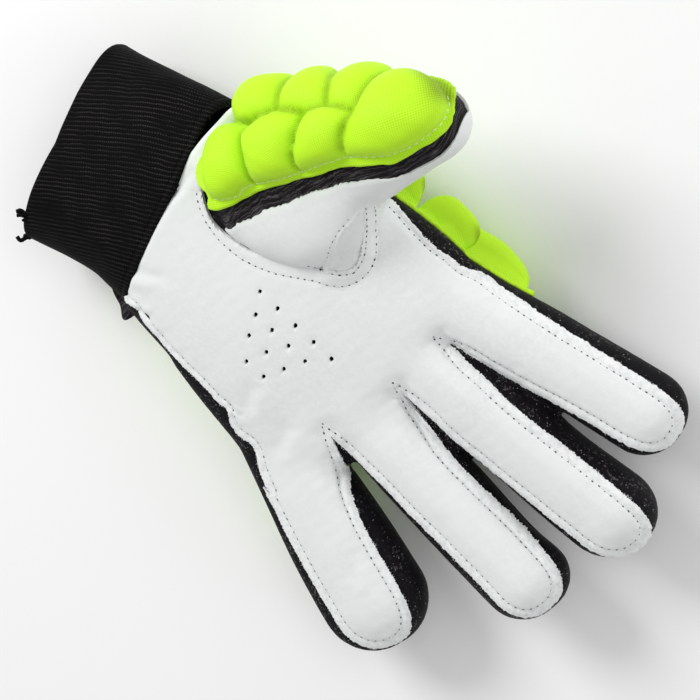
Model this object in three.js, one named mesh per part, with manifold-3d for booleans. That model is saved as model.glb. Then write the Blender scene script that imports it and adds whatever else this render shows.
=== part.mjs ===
// A left-hand indoor field hockey glove, filled out as when it is worn.
// It lies palm up on its padded back. Millimetres; +X to the fingertips, +Y to the thumb, +Z up.

import * as THREE from 'three';
import { mergeVertices } from 'three/addons/utils/BufferGeometryUtils.js';
import Module from 'manifold-3d';

const wasm = await Module();
wasm.setup();

// Sheets and gaps
const LEATHER = 1.2;
const FABRIC = 1.5;
const CUFF_WALL = 2.4;
const GAP = 0.3;
const UNDERLAP = 5;
const BOX_EXPONENT = 2.5;

// The whole glove is shifted so that its box stands on the origin
const SHIFT = { x: -5.3, y: -6.7 };

// The palm runs from the cuff seam to the knuckles. Columns of every tube table:
// at: distance along the tube; side: centre's offset to the thumb side; height: centre above ground;
// wide, deep: half sizes across the hand and from palm to back; roll: degrees about the tube's own axis;
// little, thumb: how far the leather reaches from the centre, to the little-finger and the thumb side.
const PALM = {
  root: { x: -66, y: 0 },
  yaw: 0,
  start: -6,
  end: 103,
  tip: 17,
  around: 24,
  steps: 5,
  rows: [
    { at: 0, side: 0.5, height: 27.5, wide: 37.5, deep: 17.5, roll: 0, little: 37.5, thumb: 37.5 },
    { at: 14, side: -0.5, height: 27.5, wide: 42, deep: 17.5, roll: 0, little: 39, thumb: 40 },
    { at: 32, side: 0.5, height: 27.5, wide: 46, deep: 17.5, roll: 0, little: 42, thumb: 43 },
    { at: 52, side: -0.3, height: 27, wide: 49.5, deep: 17, roll: 0, little: 42.5, thumb: 46.5 },
    { at: 72, side: -2, height: 26, wide: 52, deep: 15.5, roll: 0, little: 45.5, thumb: 47.5 },
    { at: 88, side: -4.5, height: 25, wide: 53.5, deep: 14, roll: 0, little: 53, thumb: 50 },
    { at: 103, side: -5, height: 24.5, wide: 54, deep: 13, roll: 0, little: 53, thumb: 50 },
  ],
};

const INDEX = {
  root: { x: 8, y: 33 },
  yaw: 8,
  start: 0,
  end: 104,
  tip: 15,
  around: 12,
  steps: 3,
  leatherStart: 28,
  leatherEnd: 101.5,
  rows: [
    { at: 0, side: 0, height: 24.5, wide: 13.5, deep: 11.5, roll: -2, little: 11, thumb: 12 },
    { at: 30, side: 0.2, height: 24.5, wide: 14.4, deep: 12.4, roll: -4, little: 13, thumb: 10.8 },
    { at: 50, side: 0.7, height: 24.2, wide: 15, deep: 12.8, roll: -4, little: 11.9, thumb: 9.8 },
    { at: 75, side: 0.7, height: 24.6, wide: 15.2, deep: 12.6, roll: -4, little: 11.7, thumb: 9.9 },
    { at: 104, side: 0.7, height: 26.5, wide: 15, deep: 11.8, roll: -4, little: 11.4, thumb: 9.9 },
  ],
};

const MIDDLE = {
  root: { x: 8, y: 9.6 },
  yaw: 2.2,
  start: 0,
  end: 117,
  tip: 17,
  around: 12,
  steps: 3,
  leatherStart: 28,
  leatherEnd: 115,
  rows: [
    { at: 0, side: 0, height: 25, wide: 13.5, deep: 12, roll: 2, little: 11, thumb: 11 },
    { at: 30, side: 0.3, height: 24.8, wide: 14, deep: 12.8, roll: 5, little: 12.9, thumb: 9 },
    { at: 52, side: 0.6, height: 24.4, wide: 15.2, deep: 13.2, roll: 8, little: 13.7, thumb: 8.2 },
    { at: 85, side: 0.4, height: 24.8, wide: 16.6, deep: 13.4, roll: 8, little: 14, thumb: 8.8 },
    { at: 117, side: -0.2, height: 27.5, wide: 16.2, deep: 12.6, roll: 8, little: 13.2, thumb: 9.4 },
  ],
};

const RING = {
  root: { x: 8, y: -13.4 },
  yaw: -6.2,
  start: 0,
  end: 109,
  tip: 15,
  around: 12,
  steps: 3,
  leatherStart: 28,
  leatherEnd: 106,
  rows: [
    { at: 0, side: 0, height: 24.8, wide: 13.5, deep: 11.8, roll: -2, little: 11, thumb: 11 },
    { at: 30, side: 0.6, height: 24.6, wide: 14.4, deep: 12.4, roll: -5, little: 11.4, thumb: 12.4 },
    { at: 52, side: 1.4, height: 24.2, wide: 15.6, deep: 12.8, roll: -6, little: 12.6, thumb: 11 },
    { at: 80, side: 1.6, height: 24.6, wide: 16, deep: 12.8, roll: -6, little: 12, thumb: 11.4 },
    { at: 109, side: 1.6, height: 26.8, wide: 15.6, deep: 12, roll: -6, little: 12, thumb: 11.2 },
  ],
};

const LITTLE = {
  root: { x: -1, y: -35.6 },
  yaw: -20.5,
  start: 0,
  end: 93,
  tip: 19,
  around: 12,
  steps: 3,
  leatherStart: 26,
  leatherEnd: 90,
  rows: [
    { at: 0, side: 0, height: 24.6, wide: 15, deep: 11.6, roll: 0, little: 12, thumb: 12 },
    { at: 26, side: -0.2, height: 24.2, wide: 16.8, deep: 12.2, roll: 0, little: 13.6, thumb: 13.4 },
    { at: 50, side: -0.4, height: 23.8, wide: 18.8, deep: 12.6, roll: 0, little: 14.8, thumb: 11 },
    { at: 74, side: -0.4, height: 24, wide: 19.2, deep: 12.6, roll: 0, little: 14.6, thumb: 11 },
    { at: 93, side: 0.6, height: 25.5, wide: 18.4, deep: 12, roll: 0, little: 14, thumb: 11.6 },
  ],
};

const FINGERS = [INDEX, MIDDLE, RING, LITTLE];

// Side strips between the fingers: their names, and the height of the seam that joins them to the back
const FOURCHETTE_NAMES = ['index_middle', 'middle_ring', 'ring_little'];
const SEAM_HEIGHT = 17.5;

// Where the slits of the leather end, from the index side to the little side
const SLITS = [
  { x: 34, y: 22.5 },
  { x: 33, y: 0.6 },
  { x: 23.5, y: -26 },
];

// The thumb leans over the palm from a broad root. Its last columns are angles round it: the black back
// reaches from near, on the side that faces the palm, over the top to far; the pad's flange starts at pad.
const THUMB = {
  root: { x: -57, y: 24 },
  yaw: 57.3,
  start: -10,
  startTip: 10,
  end: 82,
  tip: 14,
  around: 16,
  steps: 5,
  rows: [
    { at: -10, side: -8, height: 37, wide: 14, deep: 12, roll: 0, near: -50, far: 122, pad: -6 },
    { at: 0, side: -9.5, height: 38, wide: 17, deep: 13.5, roll: 0, near: -27, far: 122, pad: -2 },
    { at: 10, side: -11.5, height: 39.5, wide: 23.5, deep: 14.5, roll: 0, near: -12, far: 120, pad: 2 },
    { at: 20, side: -12, height: 41.5, wide: 27.8, deep: 15, roll: 0, near: -9, far: 118, pad: 2 },
    { at: 30, side: -9.8, height: 44, wide: 26.3, deep: 15, roll: 0, near: -14, far: 118, pad: -2 },
    { at: 40, side: -7.5, height: 47.5, wide: 22, deep: 14.8, roll: 0, near: -25, far: 118, pad: -9 },
    { at: 50, side: -6.8, height: 51, wide: 18.3, deep: 14.2, roll: 0, near: -36, far: 118, pad: -22 },
    { at: 60, side: -6.8, height: 53.5, wide: 15, deep: 13.2, roll: 0, near: -49, far: 118, pad: -28 },
    { at: 70, side: -7, height: 55, wide: 12.4, deep: 12.2, roll: 0, near: -46, far: 118, pad: -28 },
    { at: 82, side: -7, height: 56, wide: 12, deep: 11.6, roll: 0, near: -12, far: 118, pad: 12 },
  ],
};

// The gusset let into the thumb's leather where it meets the palm, in plan
const GUSSET = [
  { x: -15.5, y: 42 },
  { x: -17.5, y: 32 },
  { x: -14.5, y: 25 },
  { x: -12, y: 17 },
  { x: -1, y: 20 },
  { x: -3, y: 30 },
  { x: -9, y: 42 },
];

const CUFF = {
  root: { x: -66.3, y: 0.4 },
  yaw: 185.5,
  start: 0,
  end: 40.5,
  tip: 0,
  around: 24,
  steps: 3,
  rows: [
    { at: 0, side: 0, height: 27.3, wide: 37.4, deep: 17.5, roll: 0 },
    { at: 12, side: 0.2, height: 26.4, wide: 36.2, deep: 17.6, roll: 0 },
    { at: 26, side: 0.8, height: 24, wide: 34.6, deep: 17.8, roll: 0 },
    { at: 40.5, side: 1.4, height: 20.8, wide: 33, deep: 17.6, roll: 0 },
  ],
};

// Foam pads. A pad is a thin flange with pillows on it, in rows along a tube and columns round it.
// rows: pillow lengths; from: where the flange starts; angles: first and last edge, in degrees; skew: how
// far the columns run ahead from the first edge to the last; ground: the offset of the fabric that the
// pad is sewn to; endRise: the height of one large pillow across the last row; grid: places in a pillow.
const BACK = -LEATHER - GAP;
const PAD_FLANGE = 1.8;
const PAD_VALLEY = 0.8;
const PAD_BORDER = 2.6;
const PAD_COLUMN = 21;
const THUMB_PAD_EDGE = 112;

// The hand's pad and the fingers' pads meet at this x
const KNUCKLES = 22;

// Foam that comes this near to the ground is pressed flat on it
const REST_BAND = 3;

const PAD_FINE = [0, 0.14, 0.5, 0.86];
const PAD_PLAIN = [0, 0.2, 0.8];
const THUMB_PAD = {
  tube: { ...THUMB, startTip: 0 },
  from: -8.5,
  rows: [16.8, 16, 15.8, 34],
  columns: 2,
  skew: 20,
  rise: 6.4,
  endRise: 4.2,
  ground: 0,
  grid: PAD_FINE,
};
const HAND_PAD = {
  tube: PALM, from: 12, rows: [22.8, 23, 23], columns: 4, angles: [97, 246],
  rise: 9.4, ground: BACK, grid: PAD_PLAIN,
};
const INDEX_PAD = {
  tube: INDEX, from: 14.2, rows: [18], columns: 2, angles: [100, 224],
  rise: 11.4, ground: BACK, grid: PAD_PLAIN,
};
const MIDDLE_PAD = {
  tube: MIDDLE, from: 12.8, rows: [20], columns: 1, angles: [136, 224],
  rise: 11.4, ground: BACK, grid: PAD_PLAIN,
};
const RING_PAD = {
  tube: RING, from: 12.8, rows: [20], columns: 1, angles: [136, 224],
  rise: 11.4, ground: BACK, grid: PAD_PLAIN,
};
const LITTLE_PAD = {
  tube: LITTLE, from: 21, rows: [20], columns: 1, angles: [130, 240],
  rise: 11.4, ground: BACK, grid: PAD_PLAIN,
};

// Vents in the palm: four rows that shorten to a point, from the index side to the little side
const VENT_RADIUS = 1;
const VENT_SIDES = 5;
const VENT_ROWS = [
  { x: -24.5, y: -1.2, count: 5, pitch: 7.9, slope: -0.09 },
  { x: -21, y: -8.2, count: 4, pitch: 7.3, slope: -0.09 },
  { x: -18.5, y: -15.2, count: 3, pitch: 7.8, slope: -0.1 },
  { x: -14, y: -22.8, count: 2, pitch: 7.4, slope: -0.05 },
];

const COLORS = {
  leather: 0xeef0f0,
  fabric: 0x151517,
  foam: 0xc8ff32,
  cuff: 0x111113,
};

const rad = THREE.MathUtils.degToRad;

// A column of a table at any place along it, smooth through the rows and straight beyond them
function column(rows, at, name) {
  let i = 0;
  while (i < rows.length - 2 && at > rows[i + 1].at) i += 1;
  const a = rows[Math.max(i - 1, 0)];
  const b = rows[i];
  const c = rows[i + 1];
  const d = rows[Math.min(i + 2, rows.length - 1)];
  const span = c.at - b.at;
  const t = (at - b.at) / span;
  const slopeB = (c[name] - a[name]) / (c.at - a.at) * span;
  const slopeC = (d[name] - b[name]) / (d.at - b.at) * span;
  if (t < 0) return b[name] + slopeB * t;
  if (t > 1) return c[name] + slopeC * (t - 1);
  const t2 = t * t;
  const t3 = t2 * t;
  return (2 * t3 - 3 * t2 + 1) * b[name] + (t3 - 2 * t2 + t) * slopeB
    + (3 * t2 - 2 * t3) * c[name] + (t3 - t2) * slopeC;
}

// A place in plan, `out` millimetres to the thumb side of a tube's own line
function inPlan(tube, at, out) {
  const yaw = rad(tube.yaw);
  const x = tube.root.x + at * Math.cos(yaw) - out * Math.sin(yaw);
  const y = tube.root.y + at * Math.sin(yaw) + out * Math.cos(yaw);
  return new THREE.Vector2(x, y);
}

function centre(tube, at) {
  const plan = inPlan(tube, at, column(tube.rows, at, 'side'));
  return new THREE.Vector3(plan.x, plan.y, column(tube.rows, at, 'height'));
}

// How full the tube is at a place: one along it, falling to nought at a rounded end
function fullness(tube, at, offset) {
  const tip = tube.tip + offset;
  const intoTip = (at - (tube.end - tube.tip)) / Math.max(tip, 1);
  const startTip = (tube.startTip ?? 0) + offset;
  const intoStart = (tube.start + (tube.startTip ?? 0) - at) / Math.max(startTip, 1);
  let full = 1;
  if (tube.tip > 0 && intoTip > 0) full *= Math.sqrt(Math.max(0, 1 - intoTip * intoTip));
  if (tube.startTip && intoStart > 0) full *= Math.sqrt(Math.max(0, 1 - intoStart * intoStart));
  return full;
}

// The frame of a section: its centre, the way to the thumb side and the way to the palm side
function section(tube, at) {
  const here = centre(tube, at);
  const step = 0.5;
  const along = centre(tube, at + step).sub(centre(tube, at - step));
  if (along.lengthSq() < 1e-9) along.set(Math.cos(rad(tube.yaw)), Math.sin(rad(tube.yaw)), 0);
  along.normalize();
  const side = new THREE.Vector3(0, 0, 1).cross(along).normalize();
  const up = along.clone().cross(side);
  const roll = rad(column(tube.rows, at, 'roll'));
  const rolledUp = up.clone().multiplyScalar(Math.cos(roll)).addScaledVector(side, -Math.sin(roll));
  const rolledSide = side.clone().multiplyScalar(Math.cos(roll)).addScaledVector(up, Math.sin(roll));
  return { here, side: rolledSide, up: rolledUp };
}

// A point of a tube's skin. Angle nought is the palm side, ninety degrees the thumb side.
function skin(tube, at, degrees, offset) {
  const frame = section(tube, at);
  const full = fullness(tube, at, offset);
  const s = Math.sin(rad(degrees));
  const c = Math.cos(rad(degrees));
  const n = BOX_EXPONENT;
  const r = Math.pow(Math.pow(Math.abs(s), n) + Math.pow(Math.abs(c), n), -1 / n);
  const wide = (column(tube.rows, at, 'wide') + offset) * full;
  const deep = (column(tube.rows, at, 'deep') + offset) * full;
  return frame.here.addScaledVector(frame.side, wide * r * s).addScaledVector(frame.up, deep * r * c);
}

function toSolid(points, faces) {
  const vertProperties = new Float32Array(points.flatMap((p) => [p.x, p.y, p.z]));
  let triVerts = new Uint32Array(faces.flat());
  let volume = 0;
  for (const [a, b, c] of faces) {
    volume += points[a].dot(points[b].clone().cross(points[c]));
  }
  if (volume < 0) triVerts = new Uint32Array(faces.flatMap(([a, b, c]) => [a, c, b]));
  return new wasm.Manifold(new wasm.Mesh({ numProp: 3, vertProperties, triVerts }));
}

function geometryToSolid(geometry) {
  geometry.deleteAttribute('normal');
  geometry.deleteAttribute('uv');
  const merged = mergeVertices(geometry, 1e-4);
  const vertProperties = new Float32Array(merged.attributes.position.array);
  const triVerts = new Uint32Array(merged.index.array);
  return new wasm.Manifold(new wasm.Mesh({ numProp: 3, vertProperties, triVerts }));
}

// Closed loft through rings of equal length, with a point at each end
function loft(rings, first, last) {
  const points = [...rings.flat(), first, last];
  const count = rings[0].length;
  const faces = [];
  for (let i = 0; i < rings.length - 1; i += 1) {
    for (let j = 0; j < count; j += 1) {
      const a = i * count + j;
      const b = i * count + (j + 1) % count;
      faces.push([a, b, b + count], [a, b + count, a + count]);
    }
  }
  const firstIndex = rings.length * count;
  const lastRing = (rings.length - 1) * count;
  for (let j = 0; j < count; j += 1) {
    const k = (j + 1) % count;
    faces.push([firstIndex, k, j], [firstIndex + 1, lastRing + j, lastRing + k]);
  }
  return toSolid(points, faces);
}

// Where the rings of a tube go: evenly along it, and closer together round its ends.
// An open end may run on by some extra length.
function ringPlaces(tube, offset, extra) {
  const domeTurns = [0.5, 0.8, 0.95];
  const startTip = tube.startTip ?? 0;
  const from = tube.start + startTip;
  const to = tube.end - tube.tip;
  const places = [];
  if (startTip) {
    for (const turn of domeTurns.toReversed()) places.push(from - (startTip + offset) * turn);
  }
  if (tube.tip && !startTip && extra) places.push(from - extra);
  for (let i = 0; i <= tube.steps; i += 1) places.push(from + (to - from) * i / tube.steps);
  if (tube.tip) {
    for (const turn of domeTurns) places.push(to + (tube.tip + offset) * turn);
  }
  if (!tube.tip) {
    places[0] -= extra;
    places[tube.steps] += extra;
  }
  return places;
}

function tubeSolid(tube, offset, extra = 0) {
  const places = ringPlaces(tube, offset, extra);
  const rings = places.map((at) => {
    const ring = [];
    for (let j = 0; j < tube.around; j += 1) ring.push(skin(tube, at, 360 * j / tube.around, offset));
    return ring;
  });
  const firstAt = tube.startTip ? tube.start - offset : places[0];
  const lastAt = tube.tip ? tube.end + offset : places[places.length - 1];
  return loft(rings, centre(tube, firstAt), centre(tube, lastAt));
}

// The filled-out hand without its thumb, grown or shrunk by an offset
function handSolid(offset, extra = 0) {
  let hand = tubeSolid(PALM, offset, extra);
  for (const finger of FINGERS) hand = hand.add(tubeSolid(finger, offset));
  return hand;
}

// A hollow skin of the hand, open at the wrist, where the cuff starts
function handShell(outside, inside) {
  return handSolid(outside).subtract(handSolid(inside, 6)).subtract(tubeSolid(CUFF, 3, GAP));
}

// One edge of the leather along a finger, from its slit to its tip
function leatherEdge(finger, sideName, inset) {
  const sign = sideName === 'thumb' ? 1 : -1;
  const last = finger.leatherEnd - finger.tip;
  const count = 3;
  const points = [];
  for (let i = 0; i <= count; i += 1) {
    const at = finger.leatherStart + (last - finger.leatherStart) * i / count;
    const reach = Math.max(column(finger.rows, at, sideName) - inset, 2);
    points.push(inPlan(finger, at, column(finger.rows, at, 'side') + sign * reach));
  }
  return points;
}

// The rounded end of a finger's leather, from its thumb edge to its little edge
function leatherTip(finger, inset) {
  const last = finger.leatherEnd - finger.tip;
  const thumbReach = column(finger.rows, last, 'thumb') - inset;
  const littleReach = column(finger.rows, last, 'little') - inset;
  const count = 6;
  const points = [];
  for (let i = 1; i < count; i += 1) {
    const turn = Math.PI * i / count;
    const reach = turn < Math.PI / 2 ? thumbReach : littleReach;
    const out = Math.sign(Math.cos(turn)) * reach * Math.pow(Math.abs(Math.cos(turn)), 0.8);
    const at = last + (finger.tip - inset) * Math.pow(Math.sin(turn), 0.8);
    points.push(inPlan(finger, at, column(finger.rows, last, 'side') + out));
  }
  return points;
}

// The whole palm leather in plan: up the little side, round each finger, back down the thumb side
function leatherOutline(inset) {
  const outline = [];
  const palmPlaces = [-12, 14, 34, 52, 68, 82];
  for (const at of palmPlaces) {
    outline.push(inPlan(PALM, at, column(PALM.rows, at, 'side') - column(PALM.rows, at, 'little') + inset));
  }
  for (let i = FINGERS.length - 1; i >= 0; i -= 1) {
    outline.push(...leatherEdge(FINGERS[i], 'little', inset));
    outline.push(...leatherTip(FINGERS[i], inset).reverse());
    outline.push(...leatherEdge(FINGERS[i], 'thumb', inset).reverse());
    if (i > 0) outline.push(new THREE.Vector2(SLITS[i - 1].x - inset * 1.2, SLITS[i - 1].y));
  }
  for (const at of palmPlaces.toReversed()) {
    outline.push(inPlan(PALM, at, column(PALM.rows, at, 'side') + column(PALM.rows, at, 'thumb') - inset));
  }
  return outline;
}

function prism(outline, low, high) {
  const shape = new THREE.Shape(outline);
  const geometry = new THREE.ExtrudeGeometry(shape, { depth: high - low, bevelEnabled: false });
  geometry.translate(0, 0, low);
  return geometryToSolid(geometry);
}

function vents() {
  let all = null;
  for (const row of VENT_ROWS) {
    for (let i = 0; i < row.count; i += 1) {
      const x = row.x + i * row.pitch;
      const y = row.y + i * row.pitch * row.slope;
      const ring = [];
      for (let k = 0; k < VENT_SIDES; k += 1) {
        const turn = 2 * Math.PI * k / VENT_SIDES;
        ring.push(new THREE.Vector2(x + VENT_RADIUS * Math.cos(turn), y + VENT_RADIUS * Math.sin(turn)));
      }
      const hole = prism(ring, 38, 50);
      all = all ? all.add(hole) : hole;
    }
  }
  return all;
}

// A wedge of space round a tube between two angle columns, to part its skin along a seam
function wedge(tube, fromName, toName, grow) {
  const reach = 50;
  const count = 10;
  const side = new THREE.Vector3(-Math.sin(rad(tube.yaw)), Math.cos(rad(tube.yaw)), 0);
  const up = new THREE.Vector3(0, 0, 1);
  const turned = (degrees, length) => side.clone().multiplyScalar(length * Math.sin(rad(degrees)))
    .addScaledVector(up, length * Math.cos(rad(degrees)));
  const places = [];
  for (let at = tube.start - 8; at <= tube.end + 8; at += 6) places.push(at);
  const rings = places.map((at) => {
    const from = column(tube.rows, at, fromName);
    const to = column(tube.rows, at, toName);
    const widen = THREE.MathUtils.radToDeg(grow / reach);
    const apex = centre(tube, at).add(turned((from + to) / 2, -1 - 2 * grow));
    const ring = [apex];
    for (let j = 0; j <= count; j += 1) {
      const share = j / count;
      ring.push(apex.clone().add(turned(from - widen + (to - from + 2 * widen) * share, reach)));
    }
    return ring;
  });
  const first = rings[0][0].clone().add(turned(0, 1));
  const last = rings[rings.length - 1][0].clone().add(turned(0, 1));
  return loft(rings, first, last);
}

// How high a pillow stands at a place in its cell, from nought at its edges to one in the middle
function pillow(u, v) {
  const edge = (t) => Math.pow(Math.max(0, 1 - Math.pow(Math.abs(2 * t - 1), 3)), 0.6);
  return edge(u) * edge(v);
}

// Places along or round a pad: its flange, then each pillow cut up alike. Each knows its share of a pillow.
function padPlaces(lengths, grid) {
  const places = [{ at: 0, flange: true }];
  let at = PAD_BORDER;
  for (const length of lengths) {
    for (const share of grid) places.push({ at: at + length * share, share });
    at += length;
  }
  places.push({ at, share: 0 }, { at: at + PAD_BORDER, flange: true });
  return places;
}

// A pad over part of a tube's skin, with its foot sunk in the tube
function padSolid(pad) {
  const { tube } = pad;
  const foot = -4;
  const base = pad.ground + GAP + PAD_FLANGE;
  const along = padPlaces(pad.rows, pad.grid);
  const round = padPlaces(Array(pad.columns).fill(PAD_COLUMN), pad.grid);
  const reach = round[round.length - 1].at;
  const wholeLength = along[along.length - 1].at;
  const lastRow = wholeLength - PAD_BORDER - pad.rows[pad.rows.length - 1];
  const outer = [];
  const inner = [];
  for (const a of along) {
    for (const r of round) {
      const share = r.at / reach;
      const fade = 1 - Math.pow(a.at / wholeLength, 2);
      const place = pad.from + a.at + (pad.skew ?? 0) * Math.pow(share, 1.5) * fade;
      const from = pad.angles ? pad.angles[0] : column(tube.rows, place, 'pad');
      const to = pad.angles ? pad.angles[1] : THUMB_PAD_EDGE;
      const endPillow = pad.endRise && a.at >= lastRow;
      const across = endPillow ? (r.at - PAD_BORDER) / (reach - 2 * PAD_BORDER) : r.share;
      const height = endPillow ? pad.endRise : pad.rise;
      const rise = a.flange || r.flange ? 0 : PAD_VALLEY + height * pillow(a.share, across);
      const top = skin(tube, place, from + (to - from) * share, base + rise);
      if (top.z < REST_BAND) top.z = 0;
      outer.push(top);
      inner.push(skin(tube, place, from + (to - from) * share, foot));
    }
  }
  return sheet(outer, inner, along.length - 1, round.length - 1);
}

// A closed sheet between two grids of points
function sheet(outer, inner, rows, columns) {
  const points = [...outer, ...inner];
  const stride = columns + 1;
  const base = outer.length;
  const faces = [];
  for (let i = 0; i < rows; i += 1) {
    for (let j = 0; j < columns; j += 1) {
      const a = i * stride + j;
      const b = a + 1;
      const c = a + stride;
      const d = c + 1;
      faces.push([a, c, b], [b, c, d], [base + a, base + b, base + c], [base + b, base + d, base + c]);
    }
  }
  const border = [];
  for (let j = 0; j < columns; j += 1) border.push(j);
  for (let i = 0; i < rows; i += 1) border.push(i * stride + columns);
  for (let j = columns; j > 0; j -= 1) border.push(rows * stride + j);
  for (let i = rows; i > 0; i -= 1) border.push(i * stride);
  for (let k = 0; k < border.length; k += 1) {
    const a = border[k];
    const b = border[(k + 1) % border.length];
    faces.push([a, b, base + a], [b, base + b, base + a]);
  }
  return toSolid(points, faces);
}

// The largest body of a cut, without the crumbs a cut can leave
function mainBody(solid) {
  const bodies = solid.decompose();
  bodies.sort((a, b) => b.volume() - a.volume());
  return bodies[0];
}

function toMesh(name, solid, color, roughness) {
  const { numProp, vertProperties, triVerts } = solid.getMesh();
  const positions = new Float32Array(vertProperties.length / numProp * 3);
  for (let i = 0; i < positions.length / 3; i += 1) {
    for (let k = 0; k < 3; k += 1) positions[3 * i + k] = vertProperties[numProp * i + k];
  }
  const geometry = new THREE.BufferGeometry();
  geometry.setAttribute('position', new THREE.BufferAttribute(positions, 3));
  geometry.setIndex(Array.from(triVerts));
  geometry.computeVertexNormals();
  const material = new THREE.MeshStandardMaterial({ color, roughness, metalness: 0 });
  const mesh = new THREE.Mesh(geometry, material);
  mesh.name = name;
  return mesh;
}

const glove = new THREE.Group();
glove.name = 'field_hockey_glove';

function add(name, solid, color, roughness) {
  glove.add(toMesh(name, mainBody(solid), color, roughness));
}

// The thumb's own skin, and the room it takes out of the hand
const thumbRoom = tubeSolid(THUMB, GAP);
const handBelow = handSolid(-LEATHER - FABRIC - 2);
const thumbSkin = tubeSolid(THUMB, 0).subtract(tubeSolid(THUMB, -FABRIC)).subtract(handBelow);
const thumbLeather = thumbSkin.subtract(wedge(THUMB, 'near', 'far', GAP));
const gussetShape = GUSSET.map((corner) => new THREE.Vector2(corner.x, corner.y));
const gussetCentre = new THREE.Box2().setFromPoints(gussetShape).getCenter(new THREE.Vector2());
const gussetInner = gussetShape.map((corner) => corner.clone().lerp(gussetCentre, 0.04));

add('thumb_leather', thumbLeather.subtract(prism(gussetShape, 42, 70)), COLORS.leather, 0.6);
add('thumb_gusset', thumbLeather.intersect(prism(gussetInner, 42.3, 70)), COLORS.leather, 0.6);
add('thumb_side_fabric', thumbSkin.intersect(wedge(THUMB, 'near', 'far', 0)), COLORS.fabric, 0.9);
add('thumb_pad', padSolid(THUMB_PAD).subtract(thumbRoom).subtract(handSolid(GAP)), COLORS.foam, 0.8);

// Palm leather: one sheet over the palm and the finger fronts, slit between the fingers
const leatherShell = handShell(0, -LEATHER);
const leatherBlock = prism(leatherOutline(0), 26, 70);
const palmLeather = leatherShell.intersect(leatherBlock).subtract(thumbRoom).subtract(vents());
add('palm_leather', palmLeather, COLORS.leather, 0.6);

// Black fabric of the back and sides, tucked under the leather's edge
const fabricShell = handShell(BACK, BACK - FABRIC);
const fabricWindow = prism(leatherOutline(UNDERLAP), 30, 70);
const fabricAll = fabricShell.subtract(fabricWindow).subtract(thumbRoom);

// Side strips between the fingers reach from the back seam up to the leather
function fourchetteBlock(k, grow) {
  const near = FINGERS[k];
  const far = FINGERS[k + 1];
  const back = SLITS[k].x - UNDERLAP - 3 - grow;
  const outline = [-1, 1].map((side) => new THREE.Vector2(back, SLITS[k].y + side * (8 + grow)));
  for (const at of [40, near.end - 4]) outline.push(inPlan(near, at, column(near.rows, at, 'side') + grow));
  outline.push(inPlan(near, near.end + 6, grow));
  outline.push(inPlan(far, far.end + 6, -grow));
  for (const at of [far.end - 4, 40]) outline.push(inPlan(far, at, column(far.rows, at, 'side') - grow));
  return prism(outline, SEAM_HEIGHT - grow, 60);
}

let backFabric = fabricAll;
for (let k = 0; k < FOURCHETTE_NAMES.length; k += 1) {
  const strip = fabricAll.intersect(fourchetteBlock(k, -GAP / 2));
  add(`fourchette_${FOURCHETTE_NAMES[k]}`, strip, COLORS.fabric, 0.9);
  backFabric = backFabric.subtract(fourchetteBlock(k, GAP / 2));
}
add('back_fabric', backFabric, COLORS.fabric, 0.9);

// Foam pads on the back, each with its foot cut to the hand it is sewn to
const padRoom = handSolid(BACK + GAP);
const BACK_PADS = {
  hand_back_pad: HAND_PAD,
  index_pad: INDEX_PAD,
  middle_pad: MIDDLE_PAD,
  ring_pad: RING_PAD,
  little_pad: LITTLE_PAD,
};
const knuckleLine = [-60, 60].map((y) => new THREE.Vector2(KNUCKLES, y));
for (const [name, pad] of Object.entries(BACK_PADS)) {
  const reach = name === 'hand_back_pad' ? 100 : -100;
  const away = reach > 0 ? GAP / 2 : -GAP / 2;
  const beyond = knuckleLine.map((end) => new THREE.Vector2(end.x - away, end.y));
  const farSide = knuckleLine.toReversed().map((end) => new THREE.Vector2(end.x + reach, end.y));
  const cut = prism([...beyond, ...farSide], -10, 40);
  add(name, padSolid(pad).subtract(padRoom).subtract(thumbRoom).subtract(cut), COLORS.foam, 0.8);
}

// Ribbed elastic cuff, an open band
const cuffOuter = tubeSolid(CUFF, 0);
const cuffInner = tubeSolid(CUFF, -CUFF_WALL, 4);
add('wrist_cuff', cuffOuter.subtract(cuffInner), COLORS.cuff, 0.95);

glove.position.set(SHIFT.x, SHIFT.y, 0);

export default glove;
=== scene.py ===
"""A left-hand indoor field hockey glove, palm up on a pale floor. Its lengths are in millimetres."""
import math
import random

import bpy
import numpy as np
from mathutils import Matrix, Vector
from mathutils.bvhtree import BVHTree
from mathutils.geometry import delaunay_2d_cdt


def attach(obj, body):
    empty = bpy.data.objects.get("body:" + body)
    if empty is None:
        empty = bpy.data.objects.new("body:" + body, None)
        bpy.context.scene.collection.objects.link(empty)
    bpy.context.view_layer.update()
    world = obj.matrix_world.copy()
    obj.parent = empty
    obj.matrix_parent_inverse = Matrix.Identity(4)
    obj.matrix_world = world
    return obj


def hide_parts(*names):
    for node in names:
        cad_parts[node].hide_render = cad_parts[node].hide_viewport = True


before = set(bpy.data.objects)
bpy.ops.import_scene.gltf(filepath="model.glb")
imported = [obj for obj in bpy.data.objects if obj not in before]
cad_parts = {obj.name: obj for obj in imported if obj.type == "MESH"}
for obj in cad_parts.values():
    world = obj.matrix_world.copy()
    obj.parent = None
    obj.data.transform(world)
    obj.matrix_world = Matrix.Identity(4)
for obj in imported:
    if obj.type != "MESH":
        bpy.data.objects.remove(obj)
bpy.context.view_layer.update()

MM = 0.001
SHIFT = np.array([-5.3, -6.7, 0.0])
BOX_EXPONENT = 2.5
FABRIC_OUT = -1.5
rng = random.Random(7)

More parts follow.
